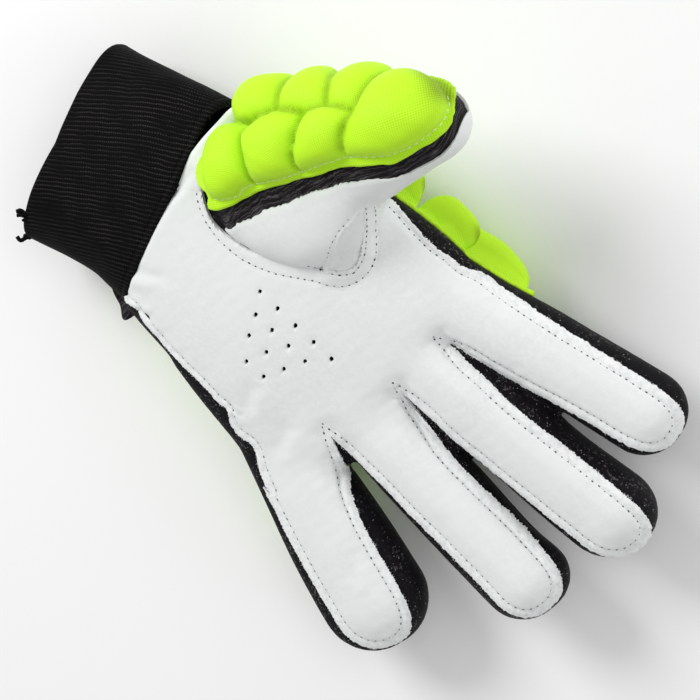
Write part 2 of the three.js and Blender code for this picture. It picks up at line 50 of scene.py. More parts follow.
# The camera: what it looks at, how far from it and how turned, in the glove's own frame
TARGET = np.array([0.0, 0.0, 30.0])
CAMERA_DISTANCE = 780.0
TILT_X, TILT_Y, CAMERA_ROLL = 5.0, 15.0, -40.0
MM_PER_PIXEL = 0.33
PIXELS = 700
SENSOR = 36.0
OFF_CENTRE = 20.0 / PIXELS
TOWARDS = np.array([math.tan(math.radians(TILT_X)), math.tan(math.radians(TILT_Y)), 1.0])
TOWARDS /= np.linalg.norm(TOWARDS)
EYE = TARGET + CAMERA_DISTANCE * TOWARDS
# Heights at which places seen in the photograph are marked in plan
MARK_HEIGHT, SEAM_MARK_HEIGHT = 46, 44

# Columns of a tube's table: the place along it, its line, half breadths, roll and leather's reach
COLUMNS = ("at", "side", "height", "wide", "deep", "roll", "little", "thumb")


def tube(root, yaw, start, end, tip, rows, start_tip=0.0):
    """A tube from its root in plan, with rounded ends of the lengths given."""
    t = dict(root=root, yaw=math.radians(yaw), start=start, end=end, tip=tip, start_tip=start_tip)
    t.update(zip(COLUMNS, np.array(rows, float).T))
    return t


PALM = tube((-66, 0), 0, -6, 103, 17, [
    (0, 0.5, 27.5, 37.5, 17.5, 0, 37.5, 37.5),
    (14, -0.5, 27.5, 42, 17.5, 0, 39, 40),
    (32, 0.5, 27.5, 46, 17.5, 0, 42, 43),
    (52, -0.3, 27, 49.5, 17, 0, 42.5, 46.5),
    (72, -2, 26, 52, 15.5, 0, 45.5, 47.5),
    (88, -4.5, 25, 53.5, 14, 0, 53, 50),
    (103, -5, 24.5, 54, 13, 0, 53, 50),
])
INDEX = tube((8, 33), 8, 0, 104, 15, [
    (0, 0, 24.5, 13.5, 11.5, -2, 11, 12),
    (30, 0.2, 24.5, 14.4, 12.4, -4, 14, 10.8),
    (50, 0.7, 24.2, 15, 12.8, -4, 13.5, 9.8),
    (75, 0.7, 24.6, 15.2, 12.6, -4, 11.6, 9.9),
    (104, 0.7, 26.5, 15, 11.8, -4, 11.4, 9.9),
])
MIDDLE = tube((8, 9.6), 2.2, 0, 117, 17, [
    (0, 0, 25, 13.5, 12, 2, 11, 11),
    (30, 0.3, 24.8, 14, 12.8, 5, 12.9, 11.8),
    (52, 0.6, 24.4, 15.2, 13.2, 8, 13.7, 9.0),
    (85, 0.4, 24.8, 16.6, 13.4, 8, 14, 8.8),
    (117, -0.2, 27.5, 16.2, 12.6, 8, 13.2, 9.4),
])
RING = tube((8, -13.4), -6.2, 0, 109, 15, [
    (0, 0, 24.8, 13.5, 11.8, -2, 11, 11),
    (30, 0.6, 24.6, 14.4, 12.4, -5, 11.4, 12.4),
    (52, 1.4, 24.2, 15.6, 12.8, -6, 12.6, 11),
    (80, 1.6, 24.6, 16, 12.8, -6, 12, 11.4),
    (109, 1.6, 26.8, 15.6, 12, -6, 12, 11.2),
])
LITTLE = tube((-1, -35.6), -20.5, 0, 93, 19, [
    (0, 0, 24.6, 15, 11.6, 0, 12, 12),
    (26, -0.2, 24.2, 16.8, 12.2, 0, 13.6, 13.4),
    (50, -0.4, 23.8, 18.8, 12.6, 0, 14.8, 11),
    (74, -0.4, 24, 19.2, 12.6, 0, 14.6, 11),
    (93, 0.6, 25.5, 18.4, 12, 0, 14, 11.6),
])
# How much further the black cloth stands out on each side: place along, little side, thumb side
PALM["let_out"] = [(0, -1.2, 0), (14, -0.5, 0), (32, 0.1, 0), (52, 0.1, 0), (72, 0, 0), (103, 0, 0)]
INDEX["let_out"] = [(0, 0.3, 0), (30, 0.8, -1.1), (60, 1.0, -1.1), (90, 1.1, 0), (104, 1.0, 0.4)]
MIDDLE["let_out"] = [
    (0, 0.3, 0), (40, 1.2, 0), (60, 1.0, 0), (68, 1.0, -1.4), (76, 1.2, -2.7), (88, 1.4, -2.3),
    (100, 1.4, -1.0), (117, 1.1, 1.0),
]
RING["let_out"] = [
    (0, 0.3, 0), (40, 1.5, -0.6), (60, 1.6, -1.8), (72, 1.6, -2.6), (83, 1.5, -2.9), (93, 1.4, -1.2),
    (109, 1.2, 1.2),
]
LITTLE["let_out"] = [(0, 1.0, -1.0), (25, 1.7, -2.0), (50, 2.0, -1.6), (75, 2.2, -0.4), (93, 2.5, 0.6)]
FINGERS = (INDEX, MIDDLE, RING, LITTLE)
LEATHER_SPANS = ((28, 101.5), (28, 115), (28, 106), (26, 90))
SLITS = ((34, 22.5), (33, 0.6), (23.5, -26))
THUMB = tube((-57, 24), 57.3, -10, 82, 14, [
    (-10, -8, 37, 14, 12, 0),
    (0, -9.5, 38, 17, 13.5, 0),
    (10, -11.5, 39.5, 23.5, 14.5, 0),
    (20, -12, 41.5, 27.8, 15, 0),
    (30, -9.8, 44, 26.3, 15, 0),
    (40, -7.5, 47.5, 22, 14.8, 0),
    (50, -6.8, 51, 18.3, 14.2, 0),
    (60, -6.8, 53.5, 15, 13.2, 0),
    (70, -7, 55, 12.4, 12.2, 0),
    (82, -7, 56, 12, 11.6, 0),
], start_tip=10)
THUMB["let_out"] = [
    (0, 0, 0), (30, 0, 0), (38, -2.2, 0), (43, -2.4, 0), (48, -1.2, 0), (54, -0.6, 0), (62, 0, 0),
]
CUFF = tube((-66.3, 0.4), 185.5, 0, 40.5, 0, [
    (0, 0, 27.3, 38, 17.5, 0),
    (12, 0.3, 26.4, 36.6, 17.6, 0),
    (26, 2.3, 24, 36.0, 17.8, 0),
    (40.5, 5.0, 20.8, 36.5, 17.6, 0),
])

# The leather's free edges along the palm, in plan, from the cuff to the fingers
LITTLE_SIDE_EDGE = [
    (-71, -30.0), (-66, -31.5), (-61, -34.2), (-57.6, -35.9), (-55.6, -34.6), (-53.4, -35.0), (-50, -36.6),
    (-45, -37.6), (-40, -38.4), (-32, -39.4), (-26, -39.9), (-19, -40.3), (-13, -41.6), (-10.6, -40.6),
    (-9, -41.8), (-6, -44.8), (-2.5, -46.4), (1, -46.3), (3.5, -45.6), (7, -47.6), (12, -52), (20, -56),
]
THUMB_SIDE_EDGE = [
    (-71, 38.2), (-64, 39.4), (-56, 40.5), (-34, 44), (-20, 45.8), (-10.9, 46.8), (-5.8, 46.4),
    (-0.7, 45.6), (6, 44.8), (11, 44.4), (16, 45), (19.5, 44.6), (22.5, 45.2), (26, 46.8), (30, 47.4),
    (34, 47.6),
]
# Where each finger's edges leave the slit beside it: on the little side, on the thumb side
SLIT_RUN = ((46, 38), (46, 44), (40, 44), (38, 38))


def column(t, at, name):
    """A column of a table at any places along the tube: smooth through its rows, straight beyond them."""
    x, y = t["at"], t[name]
    at = np.asarray(at, float)
    i = np.clip(np.searchsorted(x[1:], at, "left"), 0, len(x) - 2)
    before, after = np.maximum(i - 1, 0), np.minimum(i + 2, len(x) - 1)
    span = x[i + 1] - x[i]
    s = (at - x[i]) / span
    slope0 = (y[i + 1] - y[before]) / (x[i + 1] - x[before]) * span
    slope1 = (y[after] - y[i]) / (x[after] - x[i]) * span
    square, cube = s * s, s ** 3
    curve = (2 * cube - 3 * square + 1) * y[i] + (cube - 2 * square + s) * slope0
    curve = curve + (3 * square - 2 * cube) * y[i + 1] + (cube - square) * slope1
    return np.where(s < 0, y[i] + slope0 * s, np.where(s > 1, y[i + 1] + slope1 * (s - 1), curve))


def in_plan(t, at, out):
    """Places in plan, some way to the thumb side of a tube's own line."""
    at, out = np.broadcast_arrays(np.asarray(at, float), np.asarray(out, float))
    c, s = math.cos(t["yaw"]), math.sin(t["yaw"])
    return np.stack([t["root"][0] + at * c - out * s, t["root"][1] + at * s + out * c], -1)


def centre(t, at):
    plan = in_plan(t, at, column(t, at, "side"))
    return np.concatenate([plan, np.asarray(column(t, at, "height"))[..., None]], -1)


def unit(v):
    return v / np.maximum(np.linalg.norm(v, axis=-1, keepdims=True), 1e-9)


def fullness(t, at, offset):
    """The share of a tube's breadth at places along it: one, and down to nought in its rounded ends."""
    full = np.ones_like(at)
    if t["tip"]:
        into = np.clip((at - (t["end"] - t["tip"])) / np.maximum(t["tip"] + offset, 1), 0, None)
        full = full * np.sqrt(np.clip(1 - into ** 2, 0, None))
    if t["start_tip"]:
        into = np.clip((t["start"] + t["start_tip"] - at) / np.maximum(t["start_tip"] + offset, 1), 0, None)
        full = full * np.sqrt(np.clip(1 - into ** 2, 0, None))
    return full


def skin(t, at, degrees, offset):
    """Points of a tube's skin. Nought degrees is the palm side, ninety the thumb side."""
    at, degrees, offset = np.broadcast_arrays(*(np.asarray(a, float) for a in (at, degrees, offset)))
    here = centre(t, at)
    along = unit(centre(t, at + 0.5) - centre(t, at - 0.5))
    side = unit(np.cross([0.0, 0.0, 1.0], along))
    up = np.cross(along, side)
    roll = np.radians(column(t, at, "roll"))[..., None]
    up, side = up * np.cos(roll) - side * np.sin(roll), side * np.cos(roll) + up * np.sin(roll)
    s, c = np.sin(np.radians(degrees)), np.cos(np.radians(degrees))
    r = (np.abs(s) ** BOX_EXPONENT + np.abs(c) ** BOX_EXPONENT) ** (-1 / BOX_EXPONENT)
    full = fullness(t, at, offset)
    wide = (column(t, at, "wide") + offset) * full * r * s
    deep = (column(t, at, "deep") + offset) * full * r * c
    if "let_out" in t:
        fit = np.array(t["let_out"], float)
        more = np.where(s < 0, -np.interp(at, fit[:, 0], fit[:, 1]), np.interp(at, fit[:, 0], fit[:, 2]))
        wide = wide + more * np.abs(s) ** 1.4
    return here + side * wide[..., None] + up * deep[..., None]


# Small geometry helpers
def grid_faces(rows, cols, wrap=False):
    """Quads of a grid of points, row by row; wrapped round if its columns close."""
    i, j = np.meshgrid(np.arange(rows - 1), np.arange(cols if wrap else cols - 1), indexing="ij")
    k = (j + 1) % cols
    return np.stack([i * cols + j, i * cols + k, (i + 1) * cols + k, (i + 1) * cols + j], -1).reshape(-1, 4)


def smooth_step(a, b, x):
    s = np.clip((x - a) / (b - a), 0, 1)
    return s * s * (3 - 2 * s)


def bell(x, wide):
    """A soft rise: one where x is nought, and falling off over a width on both sides."""
    return np.exp(-((x / wide) ** 2))


def arc_length(line):
    """How far each point of a line is along it."""
    return np.concatenate([[0], np.cumsum(np.linalg.norm(np.diff(line, axis=0), axis=1))])


def arcs(grid):
    """How far each point of a grid is along its row."""
    steps = np.cumsum(np.linalg.norm(np.diff(grid, axis=1), axis=2), axis=1)
    return np.concatenate([np.zeros((len(grid), 1)), steps], 1)


def across_along(across, along):
    """A plan of a grid: millimetres across it, and millimetres along it."""
    return np.stack(np.broadcast_arrays(across, along[:, None]), -1)


def resample(points, step):
    """Points at an even spacing along a polyline."""
    p = np.asarray(points, float)
    length = arc_length(p)
    at = np.linspace(0, length[-1], max(2, int(round(length[-1] / step)) + 1))
    return np.stack([np.interp(at, length, p[:, k]) for k in range(p.shape[1])], -1)


def spline(points, step):
    """A smooth curve through points, sampled evenly."""
    p = np.array(points, float)
    ext = np.vstack([2 * p[0] - p[1], p, 2 * p[-1] - p[-2]])
    s = np.linspace(0, 1, 24, endpoint=False)[:, None]
    out = []
    for i in range(1, len(ext) - 2):
        a, b, c, d = ext[i - 1: i + 3]
        square, cube = 2 * a - 5 * b + 4 * c - d, 3 * b - a - 3 * c + d
        out.append(0.5 * (2 * b + (c - a) * s + square * s ** 2 + cube * s ** 3))
    out.append(p[-1:])
    return resample(np.vstack(out), step)


def closed_spline(points, step):
    return spline([*points, points[0]], step)[:-1]


def eased(line, rounds):
    """A line with its bends softened and its ends where they were."""
    line = line.copy()
    for _ in range(rounds):
        line[1:-1] = (line[:-2] + 2 * line[1:-1] + line[2:]) / 4
    return line


def inside(points, polygon):
    """Which points of the plan lie inside a polygon."""
    x, y = points[:, 0], points[:, 1]
    hit = np.zeros(len(points), bool)
    for (ax, ay), (bx, by) in zip(polygon, np.roll(polygon, -1, axis=0)):
        if ay != by:
            hit ^= ((ay > y) != (by > y)) & (x < (bx - ax) * (y - ay) / (by - ay) + ax)
    return hit


def distance(points, line, closed=True):
    """How far points of the plan are from a polyline."""
    a = line if closed else line[:-1]
    b = np.roll(line, -1, axis=0) if closed else line[1:]
    best = np.full(len(points), 1e9)
    for p, q in zip(a, b):
        d = q - p
        s = np.clip(((points - p) @ d) / max(d @ d, 1e-12), 0, 1)
        best = np.minimum(best, ((points - p - s[:, None] * d) ** 2).sum(1))
    return np.sqrt(best)


def value_noise(p, scale, seed):
    """Smooth noise from -1 to 1 at points of any dimension."""
    q = np.asarray(p, float) / scale
    wave = np.random.RandomState(seed)
    total = np.zeros(len(q))
    for _ in range(7):
        direction = wave.normal(size=q.shape[1])
        direction *= wave.uniform(0.6, 1.6) / np.linalg.norm(direction)
        total += np.sin(q @ direction * 2 * math.pi + wave.uniform(0, 2 * math.pi))
    return total / 4


def plan_noise(points, scale, seed):
    """Noise in two directions of the plan."""
    return np.stack([value_noise(points, scale, seed), value_noise(points, scale, seed + 1)], -1)


def triangle_grid(low, high, pitch):
    """Points of a box in rows, each row half a step on from the last."""
    xs, ys = np.arange(low[0], high[0], pitch), np.arange(low[1], high[1], pitch * 0.866)
    gx, gy = np.meshgrid(xs, ys)
    gx = gx + pitch / 2 * (np.arange(len(ys)) % 2)[:, None]
    return np.stack([gx.ravel(), gy.ravel()], -1)


def ring_edges(first, count):
    return [(first + i, first + (i + 1) % count) for i in range(count)]


def triangulate(points, edges):
    """Triangles over points of the plan, with the edges given among theirs."""
    out = delaunay_2d_cdt([Vector(p) for p in points.tolist()], edges, [], 1, 1e-5)
    return np.array([tuple(v) for v in out[0]]), np.array([f for f in out[2] if len(f) == 3])


def compact(points, faces):
    """Only the points that faces use, and the faces numbered by them."""
    used = np.unique(faces)
    place = -np.ones(len(points), int)
    place[used] = np.arange(len(used))
    return points[used], place[faces]


def cloth_patch(outline, pitch, borders=()):
    """A plan of triangles inside an outline, with edges along the borders given."""
    spots = triangle_grid(outline.min(0), outline.max(0), pitch)
    spots = spots[inside(spots, outline)]
    lines, edges, base = [outline, *borders], [], 0
    for line in lines:
        spots = spots[distance(spots, line) > pitch * 0.45]
        edges += ring_edges(base, len(line))
        base += len(line)
    plan, tris = triangulate(np.vstack([*lines, spots]), edges)
    return compact(plan, tris[inside(plan[tris].mean(1), outline)])


def link_pairs(faces):
    """Each edge of a mesh of triangles, once."""
    pairs = np.sort(np.vstack([faces[:, [0, 1]], faces[:, [1, 2]], faces[:, [2, 0]]]), axis=1)
    return np.unique(pairs, axis=0)


def averaged(values, pairs):
    """Each vertex's mean over its neighbours."""
    n, (a, b) = len(values), pairs.T
    count = np.bincount(pairs.ravel(), minlength=n).astype(float)
    columns = values.reshape(n, -1).T
    total = np.stack([np.bincount(a, v[b], n) + np.bincount(b, v[a], n) for v in columns], -1)
    return (total / count[:, None]).reshape(values.shape)


def drawn_over(ground, pairs, fixed, rounds, softer):
    """Heights of a skin drawn over a ground: no lower than it, straight where it spans, then softened."""
    high = ground.copy()
    for _ in range(rounds):
        high = np.where(fixed, high, np.maximum(ground, averaged(high, pairs)))
    for _ in range(softer):
        high = np.where(fixed, high, (high + averaged(high, pairs)) / 2)
    return high


def wound(points, faces, way=(0, 0, 1)):
    """Triangles turned over if they look away from a way, or from one way for each."""
    a, b, c = (points[faces[:, k]] for k in range(3))
    return faces[:, ::-1] if (np.cross(b - a, c - a) * way).sum() < 0 else faces


def boundary(faces):
    """Directed edges that only one face has."""
    found = dict.fromkeys(e for a, b, c in faces.tolist() for e in ((a, b), (b, c), (c, a)))
    return [e for e in found if e[::-1] not in found]


def closed_patch(top, low, tris):
    """A patch of triangles with its cut edge and underside closed."""
    n = len(top)
    sides = [(q, p, p + n, q + n) for p, q in boundary(tris)]
    return np.vstack([top, low]), [*tris.tolist(), *(tris[:, ::-1] + n).tolist(), *sides]


def tree(points, faces):
    return BVHTree.FromPolygons([tuple(p) for p in points], [tuple(f) for f in faces])


def drop(bvh, plan, high=120.0):
    """The highest point of a surface over each place in plan, and its normal."""
    points, normals = np.zeros((len(plan), 3)), np.zeros((len(plan), 3))
    for k, (x, y) in enumerate(plan):
        hit, normal, _, _ = bvh.ray_cast(Vector((x, y, high)), Vector((0, 0, -1)))
        if hit is None:
            hit, normal, _, _ = bvh.find_nearest(Vector((x, y, 24)))
        if normal.z < 0 and abs(normal.z) > 0.3:
            normal = -normal
        points[k], normals[k] = hit, normal
    return points, normals


def seen(bvh, marks, high):
    """Where points marked at a height are seen on a surface from the eye, with the normals there."""
    points, normals = [], []
    for x, y in marks:
        way = (Vector((x, y, high)) - Vector(EYE)).normalized()
        hit, normal, _, _ = bvh.ray_cast(Vector(EYE), way)
        if hit is None:
            hit, normal, _, _ = bvh.find_nearest(Vector((x, y, high)))
        points.append(tuple(hit))
        normals.append(tuple(normal if normal.z > 0 else -normal))
    return np.array(points), np.array(normals)


def mesh_data(name, points, faces, uv=None, sharp=50):
    mesh = bpy.data.meshes.new(name)
    mesh.from_pydata(((np.asarray(points) + SHIFT) * MM).tolist(), [], [list(map(int, f)) for f in faces])
    mesh.update()
    mesh.polygons.foreach_set("use_smooth", [True] * len(mesh.polygons))
    if sharp:
        mesh.set_sharp_from_angle(angle=math.radians(sharp))
    if uv is not None:
        corner = np.zeros(len(mesh.loops), int)
        mesh.loops.foreach_get("vertex_index", corner)
        layer = mesh.uv_layers.new(name="UVMap")
        layer.data.foreach_set("uv", np.asarray(uv, float)[corner].ravel())
    return mesh


def piece(name, points, faces, material, slot, uv=None, sharp=50, replaces=()):
    """A finished piece of the glove. Its UV map, where it has one, is in centimetres of cloth."""
    obj = bpy.data.objects.new(name, mesh_data(name, points, faces, uv, sharp))
    bpy.context.collection.objects.link(obj)
    obj.data.materials.append(material)
    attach(obj, "root")
    if replaces:
        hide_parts(*replaces)
    return obj


def shell(outer, inner, wrap=False):
    """Points and faces of a sheet with thickness, from two grids of points."""
    rows, cols = outer.shape[:2]
    top = grid_faces(rows, cols, wrap)
    base = rows * cols
    ends = []
    for i in (0, rows - 1):
        for j in range(cols if wrap else cols - 1):
            a, b = i * cols + j, i * cols + (j + 1) % cols
            ends.append((a, a + base, b + base, b) if i == 0 else (a, b, b + base, a + base))
    if not wrap:
        for j in (0, cols - 1):
            for i in range(rows - 1):
                a, b = i * cols + j, (i + 1) * cols + j
                ends.append((a, b, b + base, a + base) if j == 0 else (a, a + base, b + base, b))
    points = np.vstack([outer.reshape(-1, 3), inner.reshape(-1, 3)])
    return points, np.vstack([top, top[:, ::-1] + base, ends])


def capped_tube(rows, cols):
    """Quads of a wrapped grid, and a fan at each end to two points that follow the grid's own."""
    faces, base = grid_faces(rows, cols, wrap=True).tolist(), rows * cols
    for j in range(cols):
        k = (j + 1) % cols
        faces += [[base, k, j], [base + 1, base - cols + j, base - cols + k]]
    return faces


def sweep(path, radius, sides=8, normals=(0.0, 0.0, 1.0), flat=1.0):
    """A closed cord of round or flattened section along a path."""
    path = np.asarray(path, float)
    tangent = unit(np.gradient(path, axis=0))
    side = unit(np.cross(normals, tangent))
    up = np.cross(tangent, side)
    radius = np.broadcast_to(radius, len(path))
    angle = np.linspace(0, 2 * math.pi, sides, endpoint=False)[None, :, None]
    ring = side[:, None] * np.cos(angle) + up[:, None] * np.sin(angle) * flat
    points = (path[:, None] + ring * radius[:, None, None]).reshape(-1, 3)
    return np.vstack([points, path[:1], path[-1:]]), capped_tube(len(path), sides)


def join(parts):
    """Several point and face lists as one."""
    points, faces, base = [], [], 0
    for p, f in parts:
        points.append(p)
        faces.extend([[k + base for k in face] for face in f])
        base += len(p)
    return np.vstack(points), faces


# The materials
class Shader:
    """A material made of nodes, built by short calls."""

    def __init__(self, name, rough, specular, uv=False, sheen=0.0, sheen_rough=0.5, sheen_tint=(1, 1, 1)):
        self.material = bpy.data.materials.new(name)
        self.material.use_nodes = True
        self.tree = self.material.node_tree
        self.tree.nodes.clear()
        self.out = self.node("ShaderNodeOutputMaterial")
        self.bsdf = self.node("ShaderNodeBsdfPrincipled")
        self.link(self.bsdf, 0, self.out, 0)
        self.bsdf.inputs["Roughness"].default_value = rough
        self.bsdf.inputs["Specular IOR Level"].default_value = specular
        if sheen:
            self.bsdf.inputs["Sheen Weight"].default_value = sheen
            self.bsdf.inputs["Sheen Roughness"].default_value = sheen_rough
            self.bsdf.inputs["Sheen Tint"].default_value = (*sheen_tint, 1)
        self.here = self.place(uv)
        self.normal = None

    def node(self, kind, **settings):
        """A node with settings of its own, or values of its inputs by their names."""
        n = self.tree.nodes.new(kind)
        for key, value in settings.items():
            if hasattr(n, key):
                setattr(n, key, value)
            else:
                n.inputs[key.replace("_", " ")].default_value = value
        return n

    def link(self, a, i, b, j):
        self.tree.links.new(a.outputs[i], b.inputs[j])

    def place(self, uv, scale=(1, 1, 1)):
        """Cloth coordinates in centimetres, or the object's own in metres, scaled."""
        mapping = self.node("ShaderNodeMapping", Scale=scale)
        self.link(self.node("ShaderNodeTexCoord"), "UV" if uv else "Object", mapping, 0)
        return mapping

    def texture(self, kind, source=None, **settings):
        n = self.node(kind, **settings)
        self.link(source or self.here, 0, n, "Vector")
        return n

    def noise(self, scale, detail, rough=0.55, source=None):
        return self.texture("ShaderNodeTexNoise", source, Scale=scale, Detail=detail, Roughness=rough)

    def cells(self, scale, **settings):
        return self.texture("ShaderNodeTexVoronoi", Scale=scale, **settings)

    def ramp(self, source, stops, socket=0):
        """A colour ramp; stops are (place, colour or grey)."""
        n = self.node("ShaderNodeValToRGB")
        while len(n.color_ramp.elements) > 1:
            n.color_ramp.elements.remove(n.color_ramp.elements[0])
        for k, (at, colour) in enumerate(stops):
            e = n.color_ramp.elements[0] if k == 0 else n.color_ramp.elements.new(at)
            e.position = at
            e.color = (*colour, 1) if isinstance(colour, tuple) else (colour, colour, colour, 1)
        self.link(source, socket, n, 0)
        return n

    def math(self, operation, a, b=None, value=None):
        n = self.node("ShaderNodeMath", operation=operation)
        self.link(a, 0, n, 0)
        if b is not None:
            self.link(b, 0, n, 1)
        if value is not None:
            n.inputs[1].default_value = value
        return n

    def link_colour(self, source, target, socket):
        """Link a node's colour, which comes out of a mix at its third output."""
        self.link(source, 2 if source.bl_idname == "ShaderNodeMix" else 0, target, socket)

    def mix(self, factor, a, b):
        """Mix two colours, each a node or a colour, by a node."""
        n = self.node("ShaderNodeMix", data_type="RGBA")
        self.link(factor, 0, n, 0)
        for value, socket in ((a, 6), (b, 7)):
            if isinstance(value, tuple):
                n.inputs[socket].default_value = (*value, 1)
            else:
                self.link_colour(value, n, socket)
        return n

    def colour(self, source):
        self.link_colour(source, self.bsdf, "Base Color")

    def bump(self, source, height_mm, strength):
        """Relief of a height in millimetres where the source goes from nought to one."""
        n = self.node("ShaderNodeBump", Strength=strength, Distance=height_mm * MM)
        self.link(source, 0, n, "Height")
        if self.normal is not None:
            self.link(self.normal, 0, n, "Normal")
        self.normal = n

    def done(self):
        if self.normal is not None:
            self.link(self.normal, 0, self.bsdf, "Normal")
        return self.material


def leather_material():
    s = Shader("white_leather", rough=0.52, specular=0.4)
    tone = s.ramp(s.noise(28, 3), [(0.3, (0.775, 0.795, 0.795)), (0.62, (0.82, 0.84, 0.835))])
    fine = s.ramp(s.noise(700, 2), [(0.35, 0.0), (0.7, 1.0)])
    s.colour(s.mix(fine, tone, (0.83, 0.85, 0.845)))
    grain = s.cells(1500, feature="DISTANCE_TO_EDGE")
    s.bump(s.ramp(grain, [(0.0, 0.0), (0.2, 1.0)]), 0.03, 0.35)
    s.bump(s.noise(90, 4), 0.5, 0.22)
    return s.done()


def raw_leather_material():
    s = Shader("raw_leather_edge", rough=0.9, specular=0.2, sheen=0.3)
    tone = s.ramp(s.noise(900, 3), [(0.3, (0.66, 0.68, 0.69)), (0.6, (0.9, 0.9, 0.9))])
    s.colour(tone)
    s.bump(s.noise(1600, 3), 0.25, 0.8)
    return s.done()


def margin_material():
    """The flattened margin outside the seam, whiter and rougher than the rest."""
    s = Shader("leather_margin", rough=0.75, specular=0.2)
    greys = [(0.32, (0.70, 0.72, 0.73)), (0.5, (0.86, 0.87, 0.87)), (0.7, (0.9, 0.9, 0.9))]
    s.colour(s.ramp(s.noise(650, 4, 0.7), greys))
    s.bump(s.noise(900, 4, 0.7), 0.3, 0.6)
    return s.done()


def thread_material(name, dark, light):
    s = Shader(name, rough=0.8, specular=0.3)
    s.colour(s.ramp(s.noise(2500, 2), [(0.35, dark), (0.65, light)]))
    s.bump(s.noise(4000, 2), 0.1, 0.6)
    return s.done()


def black_fabric_material(name, lint, rough, tint=(0.0065, 0.006, 0.007)):
    """Black knit with white lint caught in it."""
    shine = dict(sheen=0.04, sheen_rough=0.4, sheen_tint=(0.5, 0.48, 0.52))
    s = Shader(name, rough=rough, specular=0.1, **shine)
    dark, light = (tuple(share * c for c in tint) for share in (0.45, 1.9))
    cloth = s.ramp(s.noise(1400, 3), [(0.3, dark), (0.72, light)])
    spots = s.cells(420)
    dot = s.ramp(spots, [(0.05, 1.0), (0.13, 0.0)], socket="Distance")
    where = s.ramp(s.noise(160, 2), [(1 - lint, 0.0), (1 - lint + 0.08, 1.0)])
    chance = s.ramp(spots, [(0.72, 0.0), (0.76, 1.0)], socket="Color")
    specks = s.math("MULTIPLY", s.math("MULTIPLY", dot, where), chance)
    flecks = s.math("MULTIPLY", s.ramp(s.noise(950, 2, 0.6), [(0.56, 0.0), (0.68, 1.0)]),
                    s.ramp(s.noise(110, 2), [(0.42, 0.0), (0.6, 1.0)]))
    cloth = s.mix(flecks, cloth, (0.095, 0.09, 0.092))
    s.colour(s.mix(specks, cloth, (0.34, 0.34, 0.35)))
    s.bump(s.noise(1800, 3, 0.7), 0.3, 0.7)
    s.bump(s.noise(260, 3), 0.5, 0.3)
    return s.done()


def ribbed_material():
    """Black elastic with fine ribs, each a broken light line of small stitches, with a painted sheen that
    fades where the cloth turns away from the eye.
    """
    s = Shader("ribbed_elastic", rough=0.7, specular=0.06, uv=True)
    split = s.node("ShaderNodeSeparateXYZ")
    s.link(s.here, 0, split, 0)

    def combine(*shares):
        """The cloth's two coordinates, added up in shares."""
        parts = [s.node("ShaderNodeMath", operation=kind) for kind in ("MULTIPLY", "MULTIPLY_ADD")]
        for k, n in enumerate(parts):
            s.link(split, k, n, 0)
            n.inputs[1].default_value = shares[k]
        s.link(parts[0], 0, parts[1], 2)
        return parts[1]

    def wave(source, per_cm):
        a = s.math("SINE", s.math("MULTIPLY", source, value=2 * math.pi * per_cm))
        return s.math("MULTIPLY", s.math("ADD", a, value=1.0), value=0.5)

    wobble = s.math("MULTIPLY", s.noise(2.2, 3), value=0.12)
    rib = wave(s.math("ADD", combine(0.926, -0.376), wobble), 10 / 1.5)
    stitch = wave(s.math("ADD", combine(0.376, 0.926), wobble), 10 / 0.75)
    fuzz = s.noise(55, 3, 0.75)
    patches = s.ramp(s.noise(1.1, 3, 0.6), [(0.34, 0.15), (0.6, 1.0)])
    line = s.ramp(rib, [(0.66, 0.0), (0.97, 1.0)])
    broken = s.math("ADD", s.math("MULTIPLY", stitch, value=0.5), fuzz)
    dots = s.math("MULTIPLY", line, s.ramp(broken, [(0.62, 0.08), (0.95, 1.0)]))
    # Painted sheen: the light rib lines are strongest where the cloth faces the eye.
    sheen_view_angle = s.node("ShaderNodeLayerWeight", Blend=0.35)
    facing = s.ramp(sheen_view_angle, [(0.12, 1.0), (0.6, 0.15)], socket="Facing")
    light = s.math("MULTIPLY", s.math("MULTIPLY", dots, patches), facing)
    cloth = s.ramp(fuzz, [(0.35, (0.0012, 0.0011, 0.0012)), (0.7, (0.0045, 0.0042, 0.0044))])
    s.colour(s.mix(light, cloth, (0.045, 0.042, 0.04)))
    s.bump(rib, 0.12, 0.5)
    s.bump(fuzz, 0.1, 0.5)
    return s.done()


def pad_material():
    """Bright stretch mesh: a fine net of holes over foam, darkened by a painted shade between cushions."""
    shine = dict(sheen=0.22, sheen_rough=0.35, sheen_tint=(0.85, 1.0, 0.4))
    s = Shader("pad_mesh", rough=0.6, specular=0.25, uv=True, **shine)
    net = s.ramp(s.cells(14.5, Randomness=0.1), [(0.16, 0.0), (0.44, 1.0)], socket="Distance")
    open_cloth = s.mix(net, (0.45, 0.84, 0.006), (0.57, 0.97, 0.025))
    # Painted shade: a dark olive cloth colour, mixed in by each vertex's shade value, for the valleys between
    # cushions.
    painted_shade_cloth = s.mix(net, (0.15, 0.27, 0.003), (0.33, 0.56, 0.006))
    between = s.node("ShaderNodeAttribute", attribute_name="painted_shade")
    deep = s.ramp(between, [(0.0, 0.0), (1.0, 1.0)], socket="Fac")
    s.colour(s.mix(deep, open_cloth, painted_shade_cloth))
    s.bump(net, 0.09, 0.5)
    return s.done()


def floor_material():
    s = Shader("pale_floor", rough=0.85, specular=0.15)
    s.colour(s.ramp(s.noise(6, 2), [(0.3, (0.965, 0.965, 0.965)), (0.7, (0.98, 0.98, 0.98))]))
    return s.done()


